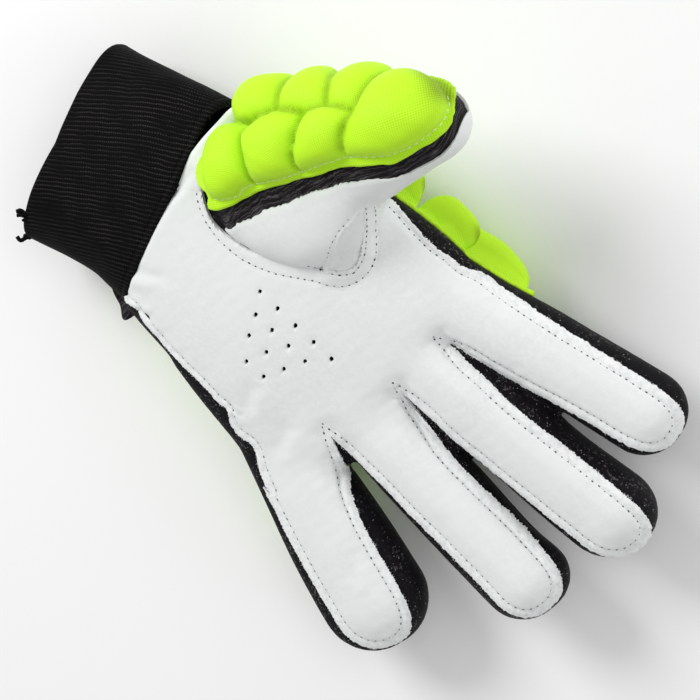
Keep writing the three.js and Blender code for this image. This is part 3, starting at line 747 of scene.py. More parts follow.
def thumb_stretch_material():
    """Satin stretch cloth gathered into fine cords that run along the thumb, with painted sheen in pale lines
    and streaks.
    """
    shine = dict(sheen=0.05, sheen_rough=0.4, sheen_tint=(0.5, 0.46, 0.5))
    s = Shader("black_thumb_stretch", rough=0.5, specular=0.1, uv=True, **shine)
    cords = s.texture("ShaderNodeTexWave", Scale=1.7, Distortion=0.9, Detail=3, Detail_Scale=1.2)
    fuzz = s.noise(70, 3, 0.75)
    # Painted sheen: pale lines on the cords' crests and pale streaks drawn along the cloth.
    line = s.ramp(cords, [(0.9, 0.0), (1.0, 0.6)], socket="Fac")
    broken = s.ramp(fuzz, [(0.42, 0.0), (0.62, 1.0)])
    drawn = s.place(uv=True, scale=(17, 1.6, 1))
    sheen_streaks = s.ramp(s.noise(1.0, 3, 0.6, source=drawn), [(0.53, 0.0), (0.64, 1.0)])
    line = s.math("MAXIMUM", line, sheen_streaks)
    cloth = s.ramp(fuzz, [(0.3, (0.004, 0.003, 0.0038)), (0.7, (0.015, 0.0115, 0.014))])
    s.colour(s.mix(s.math("MULTIPLY", line, broken), cloth, (0.2, 0.19, 0.2)))
    s.bump(cords, 0.2, 0.5)
    s.bump(fuzz, 0.15, 0.5)
    return s.done()


LEATHER = leather_material()
RAW_EDGE = raw_leather_material()
MARGIN = margin_material()
BACK_CLOTH = black_fabric_material("black_back_knit", 0.56, 0.85)
SIDE_CLOTH = black_fabric_material("black_side_stretch", 0.40, 0.6, (0.0055, 0.0045, 0.0058))
RIBBED = ribbed_material()
THUMB_STRETCH = thumb_stretch_material()
PAD_CLOTH = pad_material()
# Painted shade: a dark bluish grey that stands for the shade inside the needle holes.
NEEDLE_HOLE_SHADE = thread_material("needle_hole_shade", (0.03, 0.035, 0.04), (0.12, 0.135, 0.14))
WHITE_THREAD = thread_material("white_thread", (0.6, 0.62, 0.63), (0.8, 0.81, 0.82))
PALE_THREAD = thread_material("pale_green_thread", (0.7, 0.86, 0.42), (0.9, 1.0, 0.7))


# The black body, smooth over all its tubes
def tube_mesh(t, offset, around=88, step=1.6):
    """One closed tube."""
    quarter = np.sin(np.linspace(0, math.pi / 2, 11))[1:-1]
    first, last = t["start"] + t["start_tip"], t["end"] - t["tip"]
    places = list(np.linspace(first, last, int((last - first) / step)))
    if t["start_tip"]:
        places = list(first - (t["start_tip"] + offset) * quarter[::-1]) + places
    if t["tip"]:
        places += list(last + (t["tip"] + offset) * quarter)
    places = np.array(places)
    turns = np.linspace(0, 360, around, endpoint=False)
    points = skin(t, places[:, None], turns[None, :], offset).reshape(-1, 3)
    foot = centre(t, np.array(t["start"] - offset if t["start_tip"] else places[0]))
    head = centre(t, np.array(t["end"] + offset if t["tip"] else places[-1]))
    return np.vstack([points, foot, head]), capped_tube(len(places), around)


def fused(tubes, offset, voxel, rounds):
    """Tubes melted into one surface, with soft valleys where they meet."""
    points, faces = join([tube_mesh(t, offset) for t in tubes])
    mesh = bpy.data.meshes.new("melt")
    mesh.from_pydata(points.tolist(), [], [f[::-1] for f in faces])
    mesh.update()
    obj = bpy.data.objects.new("melt", mesh)
    bpy.context.collection.objects.link(obj)
    remesh = obj.modifiers.new("melt", "REMESH")
    remesh.mode, remesh.voxel_size = "VOXEL", voxel
    bpy.context.view_layer.update()
    result = bpy.data.meshes.new_from_object(obj.evaluated_get(bpy.context.evaluated_depsgraph_get()))
    points = np.zeros(len(result.vertices) * 3)
    result.vertices.foreach_get("co", points)
    points = points.reshape(-1, 3)
    faces = [tuple(p.vertices) for p in result.polygons]
    edges = np.zeros(len(result.edges) * 2, int)
    result.edges.foreach_get("vertices", edges)
    edges = edges.reshape(-1, 2)
    bpy.data.objects.remove(obj)
    bpy.data.meshes.remove(mesh)
    bpy.data.meshes.remove(result)
    for k in range(rounds):
        pull = 0.6 if k % 2 == 0 else -0.55
        points = points + pull * (averaged(points, edges) - points)
    return points, faces


body_points, body_faces = fused((PALM, *FINGERS), FABRIC_OUT, 1.25, 16)
body_tree = tree(body_points, body_faces)


# The palm leather
def slit_way(k):
    """Where the slit between two fingers starts, and which way it runs."""
    near, far = FINGERS[k], FINGERS[k + 1]
    a = in_plan(near, 48, column(near, 48, "side") - column(near, 48, "little"))
    b = in_plan(far, 44, column(far, 44, "side") + column(far, 44, "thumb"))
    apex = np.array(SLITS[k], float)
    way = unit((a + b) / 2 - apex)
    return apex - way, way


def finger_edge(i, sign):
    """A finger's leather edge on its little side (-1) or its thumb side (1), and where its tip begins."""
    f, (start, end) = FINGERS[i], LEATHER_SPANS[i]
    last = end - f["tip"]
    outer = i == (len(FINGERS) - 1 if sign < 0 else 0)
    first = start + 4 * sign if outer else SLIT_RUN[i][(1 + sign) // 2]
    at = np.linspace(first, last, 60)
    trim = (0.9 if i else 0.5) if sign < 0 else 0
    reach = column(f, at, "little" if sign < 0 else "thumb") - trim
    return in_plan(f, at, column(f, at, "side") + sign * reach), last


def leather_outline(step):
    """The edge of the palm leather in plan, from the cuff up the little side and round to the cuff again."""
    line = [spline(LITTLE_SIDE_EDGE, step)]
    turn = np.linspace(math.pi, 0, 40)[1:-1]
    for i in (3, 2, 1, 0):
        f = FINGERS[i]
        edge, last = finger_edge(i, -1)
        half = np.where(turn < math.pi / 2, column(f, last, "thumb"), column(f, last, "little") - 0.7)
        out = np.sign(np.cos(turn)) * half * np.abs(np.cos(turn)) ** 0.8
        tip = in_plan(f, last + f["tip"] * np.sin(turn) ** 0.8, column(f, last, "side") + out)
        line += [edge, tip, finger_edge(i, 1)[0][::-1]]
        if i:
            apex, way = slit_way(i - 1)
            aside = np.array([-way[1], way[0]])
            for along, out in ((5.5, -1.05), (2.2, -0.5), (0, 0), (2.2, 0.5), (5.5, 1.05)):
                line.append(apex + along * way + out * aside)
    line.append(spline(THUMB_SIDE_EDGE, step)[::-1])
    line = resample(np.vstack(line), step)
    tight = np.ones(len(line))
    for slit in SLITS:
        tight = np.minimum(tight, smooth_step(0.8, 5.0, np.linalg.norm(line - slit, axis=1)))
    for _ in range(14):
        average = (np.roll(line, 1, 0) + np.roll(line, -1, 0)) / 2
        average[0], average[-1] = line[0], line[-1]
        line = line + (average - line) * 0.5 * tight[:, None]
    return line


OUTLINE = leather_outline(0.5)


def offset_line(line, inset):
    """A closed line moved inwards in plan."""
    tangent = unit(np.roll(line, -2, 0) - np.roll(line, 2, 0))
    normal = np.stack([-tangent[:, 1], tangent[:, 0]], -1)
    moved = line + normal * inset
    if not inside(moved[len(moved) // 3: len(moved) // 3 + 1], line)[0]:
        moved = line - normal * inset
    return moved


# Soft folds: from x, y to x, y in plan, width, height
FOLDS = [
    (-57, -34, -48, -31, 1.3, 0.5),
    (-54.6, -34.6, -47.5, -34.2, 0.9, -0.7),
    (-10.2, -40, -3.6, -39.6, 0.8, -0.8),
    (-8.6, -41.5, -5, -38, 1.2, 0.5),
    (-8, -27, -4, -39, 2.8, -0.55),
    (-4, -26, 1, -38, 3.0, 0.35),
    (9, -30, 12.5, -44, 3.2, -0.5),
    (14, -30, 17, -44, 3.0, 0.3),
    (-66, -30, -52, -23, 2.2, 0.5),
    (-66, -26, -50, -18, 2.0, -0.5),
    (-30, 3, -26, -30, 6.0, 0.2),
    (60, 14, 74, 8, 3.0, -0.2),
    (66, -22, 78, -29, 3.2, -0.3),
    (72, -22, 84, -27, 2.4, 0.2),
    (52, -50, 60, -60, 3.4, -0.3),
    (58, -52, 64, -62, 2.6, 0.25),
]
# The cuff's edge over the leather: y, x
CUFF_EDGE = np.array([
    (-40, -59.6), (-32, -59.9), (-27, -60.9), (-18, -62.2), (-8, -64.2), (2.5, -66.1), (15.5, -68.6),
    (25, -71.5), (41, -72.5),
])
# Seams of the thumb, marked at one height as they are seen from the eye
THUMB_STITCH_SEEN = [
    (-66.5, 17.3), (-62.5, 12.1), (-57.7, 7.6), (-51.8, 4.5), (-44.1, 2.8), (-35.2, 3.0), (-26.2, 5.6),
    (-19, 9.2), (-12.4, 13.0), (-7.4, 15.2), (-3.5, 18.5), (-1.2, 23.3), (-0.8, 27.8), (-2.2, 32.3),
    (-4.9, 36.0), (-7.7, 39.3), (-10.0, 42.2), (-12.6, 44.8),
]
THUMB_HOLE_SEEN = [
    (-59, 46), (-61.5, 41), (-64, 36), (-66, 31.2), (-65.8, 26.6), (-64.2, 21.9), (-62.6, 17.2),
    (-60.0, 13.2), (-55.6, 9.7), (-50.5, 7.1), (-44.1, 6.6), (-37.3, 7.1), (-30.6, 8.9), (-23.5, 12.4),
    (-18.8, 15.2), (-14.5, 17.9), (-9.9, 20.3), (-7.5, 23.0), (-8.5, 28), (-13, 38),
]
# The gusset and the flap of palm leather beside it, marked the same way
GUSSET_SEEN = [
    (-14.5, 41.6), (-13.2, 40.0), (-10.8, 37.2), (-9.1, 34.6), (-7.4, 31.2), (-5.9, 28.1), (-5.6, 26.2),
    (-5.9, 24.1), (-6.9, 22.5), (-8.6, 21.0), (-10.0, 20.4), (-10.8, 21.5), (-12.0, 24.0), (-13.2, 26.6),
    (-14.8, 29.2), (-15.2, 31.8), (-15.0, 34.3), (-14.8, 37.0), (-14.7, 39.4),
]
FLAP_SEEN = [
    (-13.2, 17.6), (-10.0, 20.2), (-8.6, 20.9), (-6.8, 22.4), (-5.8, 24.1), (-5.5, 26.2), (-5.8, 28.1),
    (-7.3, 31.3), (-9.0, 34.7), (-10.7, 37.3), (-13.1, 40.1), (-14.6, 42.0), (-15.6, 44.4), (-12.2, 47.0),
    (-8.8, 43.4), (-6.3, 40.2), (-3.6, 36.8), (-1.0, 32.8), (0.5, 28.2), (0.2, 22.9), (-2.4, 17.6),
    (-6.6, 14.0), (-11.8, 11.8), (-14.5, 14.4),
]
INNER_STITCH_SEEN = [
    (-17.5, 15.6), (-14.2, 17.4), (-9.7, 18.8), (-6.4, 21.0), (-4.3, 23.4), (-4.0, 25.7), (-4.2, 28.1),
    (-4.8, 30.1), (-5.8, 32.3), (-7.6, 34.9), (-9.2, 37.1), (-10.8, 39.1), (-12.3, 41.0), (-14.2, 43.0),
]
LEFT_STITCH_SEEN = [
    (-16.3, 36.6), (-16.3, 33.6), (-16.2, 30.6), (-15.8, 27.5), (-14.9, 24.4), (-13.9, 22.0), (-13.3, 20.0),
]
AROUND_SEEN = [
    (-17.5, 46), (-11.5, 50.5), (-6, 44.5), (0, 36.5), (2.2, 29), (2, 21.5), (-1.5, 15), (-8, 10.5),
    (-14, 10), (-16.5, 14), (-15.6, 19), (-16.6, 23.5), (-18.2, 29), (-18.2, 36), (-17.6, 41),
]
# The tongue of leather between the cuff and the thumb, and the satin tab's plan
TONGUE_SEEN = [
    (-65.4, 6.8), (-67.3, 8.5), (-68.6, 11.5), (-69.7, 16.9), (-69.9, 24.8), (-69.2, 33.2), (-68.3, 40.0),
    (-65.2, 41.0), (-63.8, 37.7), (-64.9, 32.6), (-65.9, 28.4), (-65.2, 24.8), (-63.6, 21.1), (-60.8, 17.5),
    (-58.4, 14.5), (-59.5, 11.9), (-62.0, 8.8),
]
TAB_LINE = [
    (-69.2, -37.0), (-68.5, -40.0), (-65.4, -42.6), (-62.4, -44.4), (-59.3, -47.2), (-57.4, -46.3),
    (-56.2, -41.6), (-57.5, -36.0), (-63.5, -34.0),
]


def tube_surface(t, offset):
    points, faces = tube_mesh(t, offset, 72, 2.0)
    return points, [f[::-1] for f in faces]


shape_tree = tree(*join([(body_points, body_faces), tube_surface(THUMB, 0.4)]))
THUMB_HOLE = eased(seen(shape_tree, spline(THUMB_HOLE_SEEN, 0.7), MARK_HEIGHT)[0][:, :2], 6)
THUMB_STITCH = eased(seen(shape_tree, spline(THUMB_STITCH_SEEN, 0.7), SEAM_MARK_HEIGHT)[0][:, :2], 6)
THUMB_AREA = np.vstack([THUMB_HOLE, [(-20, 70), (-50, 72)]])


def stitch_inset(p):
    """How far inside its edge the leather is sewn: closer on both sides of the hand."""
    near_thumb = smooth_step(26, 38, p[:, 1]) * (1 - smooth_step(10, 42, p[:, 0]))
    near_little = smooth_step(-26, -36, p[:, 1]) * (1 - smooth_step(-6, 16, p[:, 0]))
    return 2.7 - 1.35 * near_thumb - 0.7 * near_little


def leather_height(plan, edge):
    """How far the leather's outer face stands off the cloth: raised margin, sewn groove, soft middle."""
    inset = stitch_inset(plan)
    rise = 0.85 + 0.65 * smooth_step(0, 6.0, edge - inset)
    rise -= 0.42 * bell(edge - inset, 0.45)
    rise += 0.12 * bell(edge - inset / 2, 0.8)
    rise += 0.12 * value_noise(plan, 4.5, 15) * bell(edge, 3.0)
    for x0, y0, x1, y1, wide, high in FOLDS:
        a, b = np.array([x0, y0]), np.array([x1, y1])
        d = b - a
        s = np.clip(((plan - a) @ d) / (d @ d), 0, 1)
        far = np.linalg.norm(plan - a - s[:, None] * d, axis=1)
        rise += high * bell(far, wide) * np.clip(np.minimum(s, 1 - s) * 4 + 0.15, 0, 1)
    rise += 0.10 * value_noise(plan, 17, 3) + 0.05 * value_noise(plan, 6, 4)
    rise -= 0.3 * bell(distance(plan, THUMB_STITCH, closed=False), 0.5)
    hole, within = distance(plan, THUMB_HOLE, closed=False), inside(plan, THUMB_AREA)
    rise += np.where(within, -1.5 * smooth_step(0.0, 0.3, hole), 0.45 * bell(hole, 2.4))
    rise += 0.12 * value_noise(plan, 2.2, 17) * bell(hole, 1.6) * ~within
    cuff_edge = np.interp(plan[:, 1], *CUFF_EDGE.T)
    rise *= 0.05 + 0.95 * smooth_step(-2.2, 0.9, plan[:, 0] - cuff_edge)
    return rise


# The air holes' rows: the first hole, the step to the next, how many
VENT_ROWS = (
    (-24.5, -1.2, 7.9, -0.71, 5),
    (-21, -8.2, 7.3, -0.66, 4),
    (-18.5, -15.2, 7.8, -0.78, 3),
    (-14, -22.8, 7.4, -0.37, 2),
)
VENTS = np.array([(x + dx * i, y + dy * i) for x, y, dx, dy, count in VENT_ROWS for i in range(count)])
VENT_RADIUS = 0.66
# The way the punch dragged the leather
PUNCHED = np.array([0.28, -0.96])


def vent_ring(k, radius, count=14):
    """The rim of a punched hole, drawn out to one side and a little ragged."""
    turn = np.linspace(0, 2 * math.pi, count, endpoint=False)
    local = random.Random(31 + k)
    p = np.stack([np.cos(turn), np.sin(turn)], -1)
    p *= (radius * (1 + np.array([local.uniform(-0.12, 0.12) for _ in turn])))[:, None]
    drawn = np.clip(p @ PUNCHED, 0, None) * local.uniform(0.15, 0.7)
    return VENTS[k] + p + drawn[:, None] * PUNCHED


def leather_sheet():
    """The palm leather's plan in triangles: dense along its edge and round its holes."""
    rough = OUTLINE + 0.26 * plan_noise(OUTLINE, 1.1, 11)
    rough += 0.14 * plan_noise(OUTLINE, 4, 13)
    grid = triangle_grid(rough.min(0) - 1, rough.max(0) + 1, 1.0)
    grid = grid[inside(grid, rough)]
    grid = grid[distance(grid, OUTLINE) > 4.3]
    grid = grid[distance(grid, THUMB_HOLE, closed=False) > 0.95]
    for vent in VENTS:
        grid = grid[np.linalg.norm(grid - vent - 0.4 * PUNCHED, axis=1) > VENT_RADIUS + 1.7]
    bands = []
    for inset in (0.35, 0.8, 1.3, 1.8, 2.3, 2.7, 3.1, 3.6):
        band = offset_line(OUTLINE, inset)[:: 1 if inset < 1.5 else 2]
        bands.append(band[distance(band, OUTLINE) > inset - 0.12])
    rings = [vent_ring(k, VENT_RADIUS) for k in range(len(VENTS))]
    near = [vent_ring(k, VENT_RADIUS + more) for k in range(len(VENTS)) for more in (0.3, 0.65, 1.1)]
    aside = unit(np.stack([-np.gradient(THUMB_HOLE[:, 1]), np.gradient(THUMB_HOLE[:, 0])], -1))
    banks = [THUMB_HOLE + 0.3 * aside, THUMB_HOLE - 0.5 * aside]
    points = np.vstack([rough, THUMB_HOLE, *banks, *bands, grid, *near, *rings])
    edges = ring_edges(0, len(rough)) + ring_edges(len(rough), len(THUMB_HOLE))[:-1]
    first = len(points) - sum(len(ring) for ring in rings)
    for ring in rings:
        edges += ring_edges(first, len(ring))
        first += len(ring)
    plan, faces = triangulate(points, edges)
    middle = plan[faces].mean(1)
    keep = inside(middle, rough)
    for ring in rings:
        keep &= ~inside(middle, ring)
    return compact(plan, faces[keep])


def vertex_normals(points, faces):
    a, b, c = (points[faces[:, k]] for k in range(3))
    total = np.zeros_like(points)
    for k in range(3):
        np.add.at(total, faces[:, k], np.cross(b - a, c - a))
    total = unit(total)
    return np.where(total[:, 2:] < 0, -total, total)


def palm_leather():
    """The palm's leather, laid over the black body. Gives its outer face."""
    plan, faces = leather_sheet()
    edge, pairs = distance(plan, OUTLINE), link_pairs(faces)
    under, _ = drop(body_tree, plan)
    under[:, 2] = drawn_over(under[:, 2], pairs, edge < 0.9, 150, 6)
    normal = vertex_normals(under, faces)
    for _ in range(4):
        normal = unit(normal + averaged(normal, pairs))
    rise = leather_height(plan, edge)
    for k, vent in enumerate(VENTS):
        rise -= 0.22 * bell(np.linalg.norm(plan - vent, axis=1), 1.3)
        rise -= (0.2 + 0.09 * (k % 4)) * bell(np.linalg.norm(plan - vent - 1.25 * PUNCHED, axis=1), 0.6)
    top = under + normal * rise[:, None]
    faces = wound(top, faces)
    low_index, sides, points = {}, [], [*top]
    for p, q in boundary(faces):
        for v in (p, q):
            if v not in low_index:
                low_index[v] = len(points)
                points.append(under[v] + normal[v] * 0.02)
        sides.append((q, p, low_index[p], low_index[q]))
    sheet = piece("palm_leather_sheet", np.array(points), [*faces.tolist(), *sides], LEATHER, "leather",
                  sharp=45, replaces=("palm_leather",))
    for material in (RAW_EDGE, MARGIN, SIDE_CLOTH):
        sheet.data.materials.append(material)
    in_hole = inside(plan, THUMB_AREA) & (distance(plan, THUMB_HOLE, closed=False) > 0.1)
    kinds = np.zeros(len(faces), int)
    kinds[(edge - stitch_inset(plan))[faces].max(1) < 0.1] = 2
    kinds[edge[faces].min(1) < 0.3] = 1
    kinds[in_hole[faces].all(1)] = 3
    kinds = np.concatenate([kinds, np.ones(len(sides), int)])
    sheet.data.polygons.foreach_set("material_index", kinds)
    return top, faces


leather_face = palm_leather()
leather_tree = tree(*leather_face)

# The black cloth of the back and of the sides of the fingers
FOURCHETTES = ("index_middle", "middle_ring", "ring_little")
SEAM_HEIGHT = 17.5


def fourchette_plan(k):
    """The plan of the strip between two fingers, out to the middle of each."""
    near, far = FINGERS[k], FINGERS[k + 1]
    x, y = SLITS[k]
    line = [(x - 8, y - 8), (x - 8, y + 8)]
    line += [in_plan(near, at, column(near, at, "side")) for at in (40, near["end"] - 4)]
    line += [in_plan(near, near["end"] + 6, 0), in_plan(far, far["end"] + 6, 0)]
    line += [in_plan(far, at, column(far, at, "side")) for at in (far["end"] - 4, 40)]
    return np.array(line)


def split_body():
    """The black body's faces, and the piece of each: 0 the back, 1 to 3 a side strip, -1 none."""
    quads = np.array([q if len(q) == 4 else (*q, q[-1]) for q in body_faces])
    corners = body_points[quads]
    mid = corners.mean(1)
    facing = unit(np.cross(corners[:, 2] - corners[:, 0], corners[:, 3] - corners[:, 1]))
    hidden = inside(mid[:, :2], OUTLINE) & (mid[:, 2] > 24) & (facing[:, 2] > 0.2)
    hidden &= distance(mid[:, :2], OUTLINE) > 4.5
    open_end = (mid[:, 0] < -71.2) & (np.abs(facing[:, 0]) > 0.6)
    kind = np.zeros(len(quads), int)
    for k in range(len(FOURCHETTES)):
        kind[inside(mid[:, :2], fourchette_plan(k)) & (mid[:, 2] > SEAM_HEIGHT)] = k + 1
    kind[hidden | open_end] = -1
    return quads, kind


def body_part(quads):
    points, quads = compact(body_points, quads)
    return points, [q if q[2] != q[3] else q[:3] for q in quads.tolist()]


def black_cloth():
    """The black cloth of the back, with its inner face, and the strips between the fingers."""
    quads, kind = split_body()
    lining, lining_faces = fused((PALM, *FINGERS), FABRIC_OUT - 1.7, 2.6, 8)
    lining_faces = [q[::-1] for q in lining_faces if lining[list(q)].mean(0)[0] > -70.5]
    back = join([body_part(quads[kind == 0]), (lining, lining_faces)])
    piece("back_knit", *back, BACK_CLOTH, "black_fabric", replaces=("back_fabric",), sharp=0)
    for k, name in enumerate(FOURCHETTES):
        piece(f"side_strip_{name}", *body_part(quads[kind == k + 1]), SIDE_CLOTH, "black_fabric", sharp=0,
              replaces=(f"fourchette_{name}",))


def finger_ridges():
    """Seams where a side strip joins the back: a raised ridge along each finger."""
    ridges = []
    for t, sides in ((INDEX, (-1,)), (MIDDLE, (-1, 1)), (RING, (-1, 1)), (LITTLE, (1,))):
        for sign in sides:
            path = []
            for at in np.linspace(34, t["end"] - t["tip"] * 0.35, 120):
                middle = centre(t, np.array(at))[:2]
                out = in_plan(t, at, sign * 40 + float(column(t, at, "side"))) - middle
                start, way = Vector((*middle, SEAM_HEIGHT)), Vector((*out, 0)).normalized()
                hit, _, _, far = body_tree.ray_cast(start, way)
                if hit is not None and far < 19:
                    path.append(tuple(hit))
            if len(path) > 5:
                path = resample(path, 1.2)
                for _ in range(6):
                    path[1:-1] = (path[:-2] + path[2:]) / 2
                ridges.append(sweep(path, 0.55))
    piece("finger_seam_ridges", *join(ridges), BACK_CLOTH, "black_fabric", sharp=0)


black_cloth()
finger_ridges()

# The edge of the thumb's leather on top: places along the thumb and turns round it
LEATHER_EDGE = [
    (-12, -62), (-9, -60), (-6.5, -55), (-4.6, -47), (-3.6, -41), (-1.5, -33), (3, -24.5), (7, -19),
    (11, -12.5), (14.5, -10), (18, -9), (24, -8), (30, -10.5), (38, -19), (44, -26.5), (49, -33),
    (52.5, -40), (56, -49), (61, -55), (68.5, -57), (73, -53), (76.5, -46), (79.5, -33), (82, -14),
    (83.5, 8),
]
FAR_EDGE = 122.0


def thumb_places():
    """Places along the thumb, closer together in its rounded ends."""
    foot = -(10.6 * np.sin(np.linspace(0, math.pi / 2, 14))[1:-1][::-1])
    cap = 68 + 14.6 * np.sin(np.linspace(0, math.pi / 2, 22))[1:-1]
    return np.concatenate([foot, np.arange(0, 68, 0.7), cap])


def ragged_edge(at):
    """The turn at which the thumb's leather ends on top, at each place along it."""
    turn = np.interp(at, *np.array(LEATHER_EDGE, float).T)
    turn = np.convolve(np.pad(turn, 2, "edge"), np.ones(5) / 5, "valid")
    ragged = 0.5 * np.random.RandomState(3).uniform(-1, 1, len(at))
    return turn + (0.75 * value_noise(at[:, None], 2.2, 55) + ragged)


def thumb_leather(at, near_edge):
    """Leather from the far edge under the thumb to its edge on top. Gives its outer face."""
    share, width = np.linspace(0, 1, 150), (360 + near_edge - FAR_EDGE)[:, None]
    turns = FAR_EDGE + width * share
    stand = 0.45 + 0.1 * bell((1 - share) * width * 0.35 - 1.4, 0.9)
    smooth = skin(THUMB, at[:, None], turns, stand).reshape(-1, 3)
    wrinkle = value_noise(smooth, 15, 21).reshape(stand.shape) * 0.12
    outer = skin(THUMB, at[:, None], turns, stand + wrinkle)
    inner = skin(THUMB, at[:, None], turns, -0.75)
    points, faces = shell(outer, inner)
    piece("thumb_leather_shell", points, faces, LEATHER, "leather", sharp=45, replaces=("thumb_leather",))
    return outer.reshape(-1, 3), grid_faces(*turns.shape)


def thumb_stretch(at, near_edge):
    """Black stretch cloth over the back of the thumb, gathered lengthwise. Gives its outer face."""
    width = (FAR_EDGE + 6 - near_edge + 14)[:, None]
    turns = (near_edge - 14)[:, None] + width * np.linspace(0, 1, 170)
    across = arcs(skin(THUMB, at[:, None], turns, 0))
    waver = 2.2 * value_noise(np.stack([at, np.zeros_like(at)], -1), 40, 5)[:, None]
    gather = 0.13 * np.sin(across * 2 * math.pi / 1.9 + waver + 3 * np.sin(at / 23)[:, None])
    gather += 0.10 * np.sin(across * 2 * math.pi / 3.3 + at[:, None] / 9)
    gather *= 1 - 0.5 * smooth_step(55, 72, at)[:, None]
    outer = skin(THUMB, at[:, None], turns, -0.35 + gather)
    inner = skin(THUMB, at[:, None], turns, -1.7)
    uv = across_along(across, at).reshape(-1, 2) / 10
    uv[:, 0] += 0.55 * (1 - smooth_step(0, 2.4, uv[:, 1] + 0.9)) - 0.10 * uv[:, 1]
    piece("thumb_side_stretch", *shell(outer, inner), THUMB_STRETCH, "black_fabric", uv=np.vstack([uv, uv]),
          replaces=("thumb_side_fabric",), sharp=0)
    return outer.reshape(-1, 3), grid_faces(*turns.shape)


thumb_at = thumb_places()
thumb_edge = ragged_edge(thumb_at)
thumb_face = thumb_leather(thumb_at, thumb_edge)
stretch_face = thumb_stretch(thumb_at, thumb_edge)


def sight_points(marks, heights):
    """Points at given heights on the lines of sight through marks made at the mark height."""
    at_mark = np.column_stack([marks, np.full(len(marks), float(MARK_HEIGHT))])
    return EYE + (at_mark - EYE) * ((EYE[2] - heights) / (EYE[2] - MARK_HEIGHT))[:, None]


def sight_piece(name, marks, tris, high, low, replaces=()):
    """Leather between two heights, in its place as it is seen from the eye. Gives its outer face."""
    used = np.unique(tris)
    upper, lower = (sight_points(marks[used], heights[used]) for heights in (high, low))
    tris = wound(upper, compact(marks, tris)[1], TOWARDS)
    piece(name, *closed_patch(upper, lower, tris), LEATHER, "leather", replaces=replaces)
    return upper, tris


def thumb_root(below):
    """The flap and the gusset at the root of the thumb, cut from one web. Gives the outer face of each."""
    flap_line, gusset_line = closed_spline(FLAP_SEEN, 0.5), closed_spline(GUSSET_SEEN, 0.5)
    around_line = closed_spline(AROUND_SEEN, 0.6)
    marks, tris = cloth_patch(around_line, 0.55, (flap_line, gusset_line))
    to_free = distance(marks, np.array([*FLAP_SEEN[12:], FLAP_SEEN[0]], float), closed=False)
    fixed = (distance(marks, around_line) < 0.05) | (to_free < 0.3)
    web = drawn_over(seen(below, marks, MARK_HEIGHT)[0][:, 2], link_pairs(tris), fixed, 260, 8)
    in_flap, in_gusset = inside(marks, flap_line), inside(marks, gusset_line)
    to_flap, to_gusset = distance(marks, flap_line), distance(marks, gusset_line)
    crinkle = value_noise(marks, 2.6, 71)

    lift = 0.42 * smooth_step(0.5, 6.0, to_free)
    lift -= 0.22 * bell(distance(marks, spline(THUMB_STITCH_SEEN, 0.7), closed=False), 0.5)
    lift -= 0.3 * bell(distance(marks, spline(INNER_STITCH_SEEN, 0.7), closed=False), 0.45)
    lift += 0.16 * crinkle * bell(to_gusset, 1.6) + 0.1 * value_noise(marks, 5, 73)
    lift = lift * smooth_step(0, 1.0, to_free) + 0.02
    part = tris[in_flap[tris].all(1) | (to_flap[tris].max(1) < 0.02)]
    flap = sight_piece("thumb_root_flap", marks, part, web + lift, web + np.minimum(lift - 0.9, -0.1))

    to_left = distance(marks, spline([*GUSSET_SEEN[11:], GUSSET_SEEN[0]], 0.5), closed=False)
    lift = -0.25 + 0.5 * bell(to_left - 0.1, 0.8) - 0.12 * bell(to_left - 1.5, 0.5) * in_gusset
    lift += 0.12 * value_noise(marks, 1.9, 72) * bell(to_left, 1.8) + 0.05 * crinkle
    lift = lift * smooth_step(1.5, 0.9, to_gusset * ~in_gusset) + 0.02
    wide_gusset = inside(marks, around_line) & (in_gusset | (to_gusset < 3.6))
    part = tris[wide_gusset[tris].all(1)]
    gusset = sight_piece("thumb_gusset_panel", marks, part, web + lift, web + np.minimum(lift - 0.9, -0.1),
                         ("thumb_gusset",))
    return flap, gusset


def palm_tongue(below):
    """The tongue of palm leather that runs up between the cuff and the root of the thumb."""
    line = closed_spline(TONGUE_SEEN, 0.5)
    marks, tris = cloth_patch(line, 0.6)
    ground = seen(below, marks, MARK_HEIGHT)[0][:, 2]
    web = drawn_over(ground, link_pairs(tris), False, 120, 6)
    rim = distance(marks, line)
    low_side = smooth_step(7.0, 19.0, marks[:, 1])
    web = ground + (web - ground) * low_side
    lift = 0.02 + 0.53 * smooth_step(0, 1.2, rim) * low_side
    lift -= 0.2 * (1 - low_side) * smooth_step(2.5, 0, rim)
    sight_piece("palm_leather_tongue", marks, tris, web + lift, web + lift - 0.8)


root_faces = thumb_root(tree(*join([leather_face, thumb_face])))
outer_tree = tree(*join([leather_face, thumb_face, *root_faces]))
palm_tongue(tree(*join([leather_face, thumb_face, stretch_face, (body_points, body_faces)])))


# The cushions
def inflate(points, polygon, cell=0.4):
    """How full a cushion sewn along a polygon stands at each place: nought at its seam, one at its crown."""
    low, high = polygon.min(0) - 2 * cell, polygon.max(0) + 2 * cell
    xs, ys = np.arange(low[0], high[0], cell), np.arange(low[1], high[1], cell)
    gx, gy = np.meshgrid(xs, ys, indexing="ij")
    mask = inside(np.stack([gx.ravel(), gy.ravel()], -1), polygon).reshape(gx.shape)
    q = np.zeros(gx.shape)
    for _ in range(1600):
        q[1:-1, 1:-1] = (q[:-2, 1:-1] + q[2:, 1:-1] + q[1:-1, :-2] + q[1:-1, 2:] + 1) / 4
        q *= mask
    q /= q.max()
    u = np.clip((points - low) / cell, 0, np.array(gx.shape) - 1.001)
    i, j = u.astype(int).T
    f, g = (u - u.astype(int)).T
    value = (q[i, j] * (1 - f) + q[i + 1, j] * f) * (1 - g)
    value += (q[i, j + 1] * (1 - f) + q[i + 1, j + 1] * f) * g
    near = inside(points, polygon)
    depth = np.zeros(len(points))
    depth[near] = distance(points[near], polygon)
    return value * near * np.clip(depth / 0.5, 0, 1)


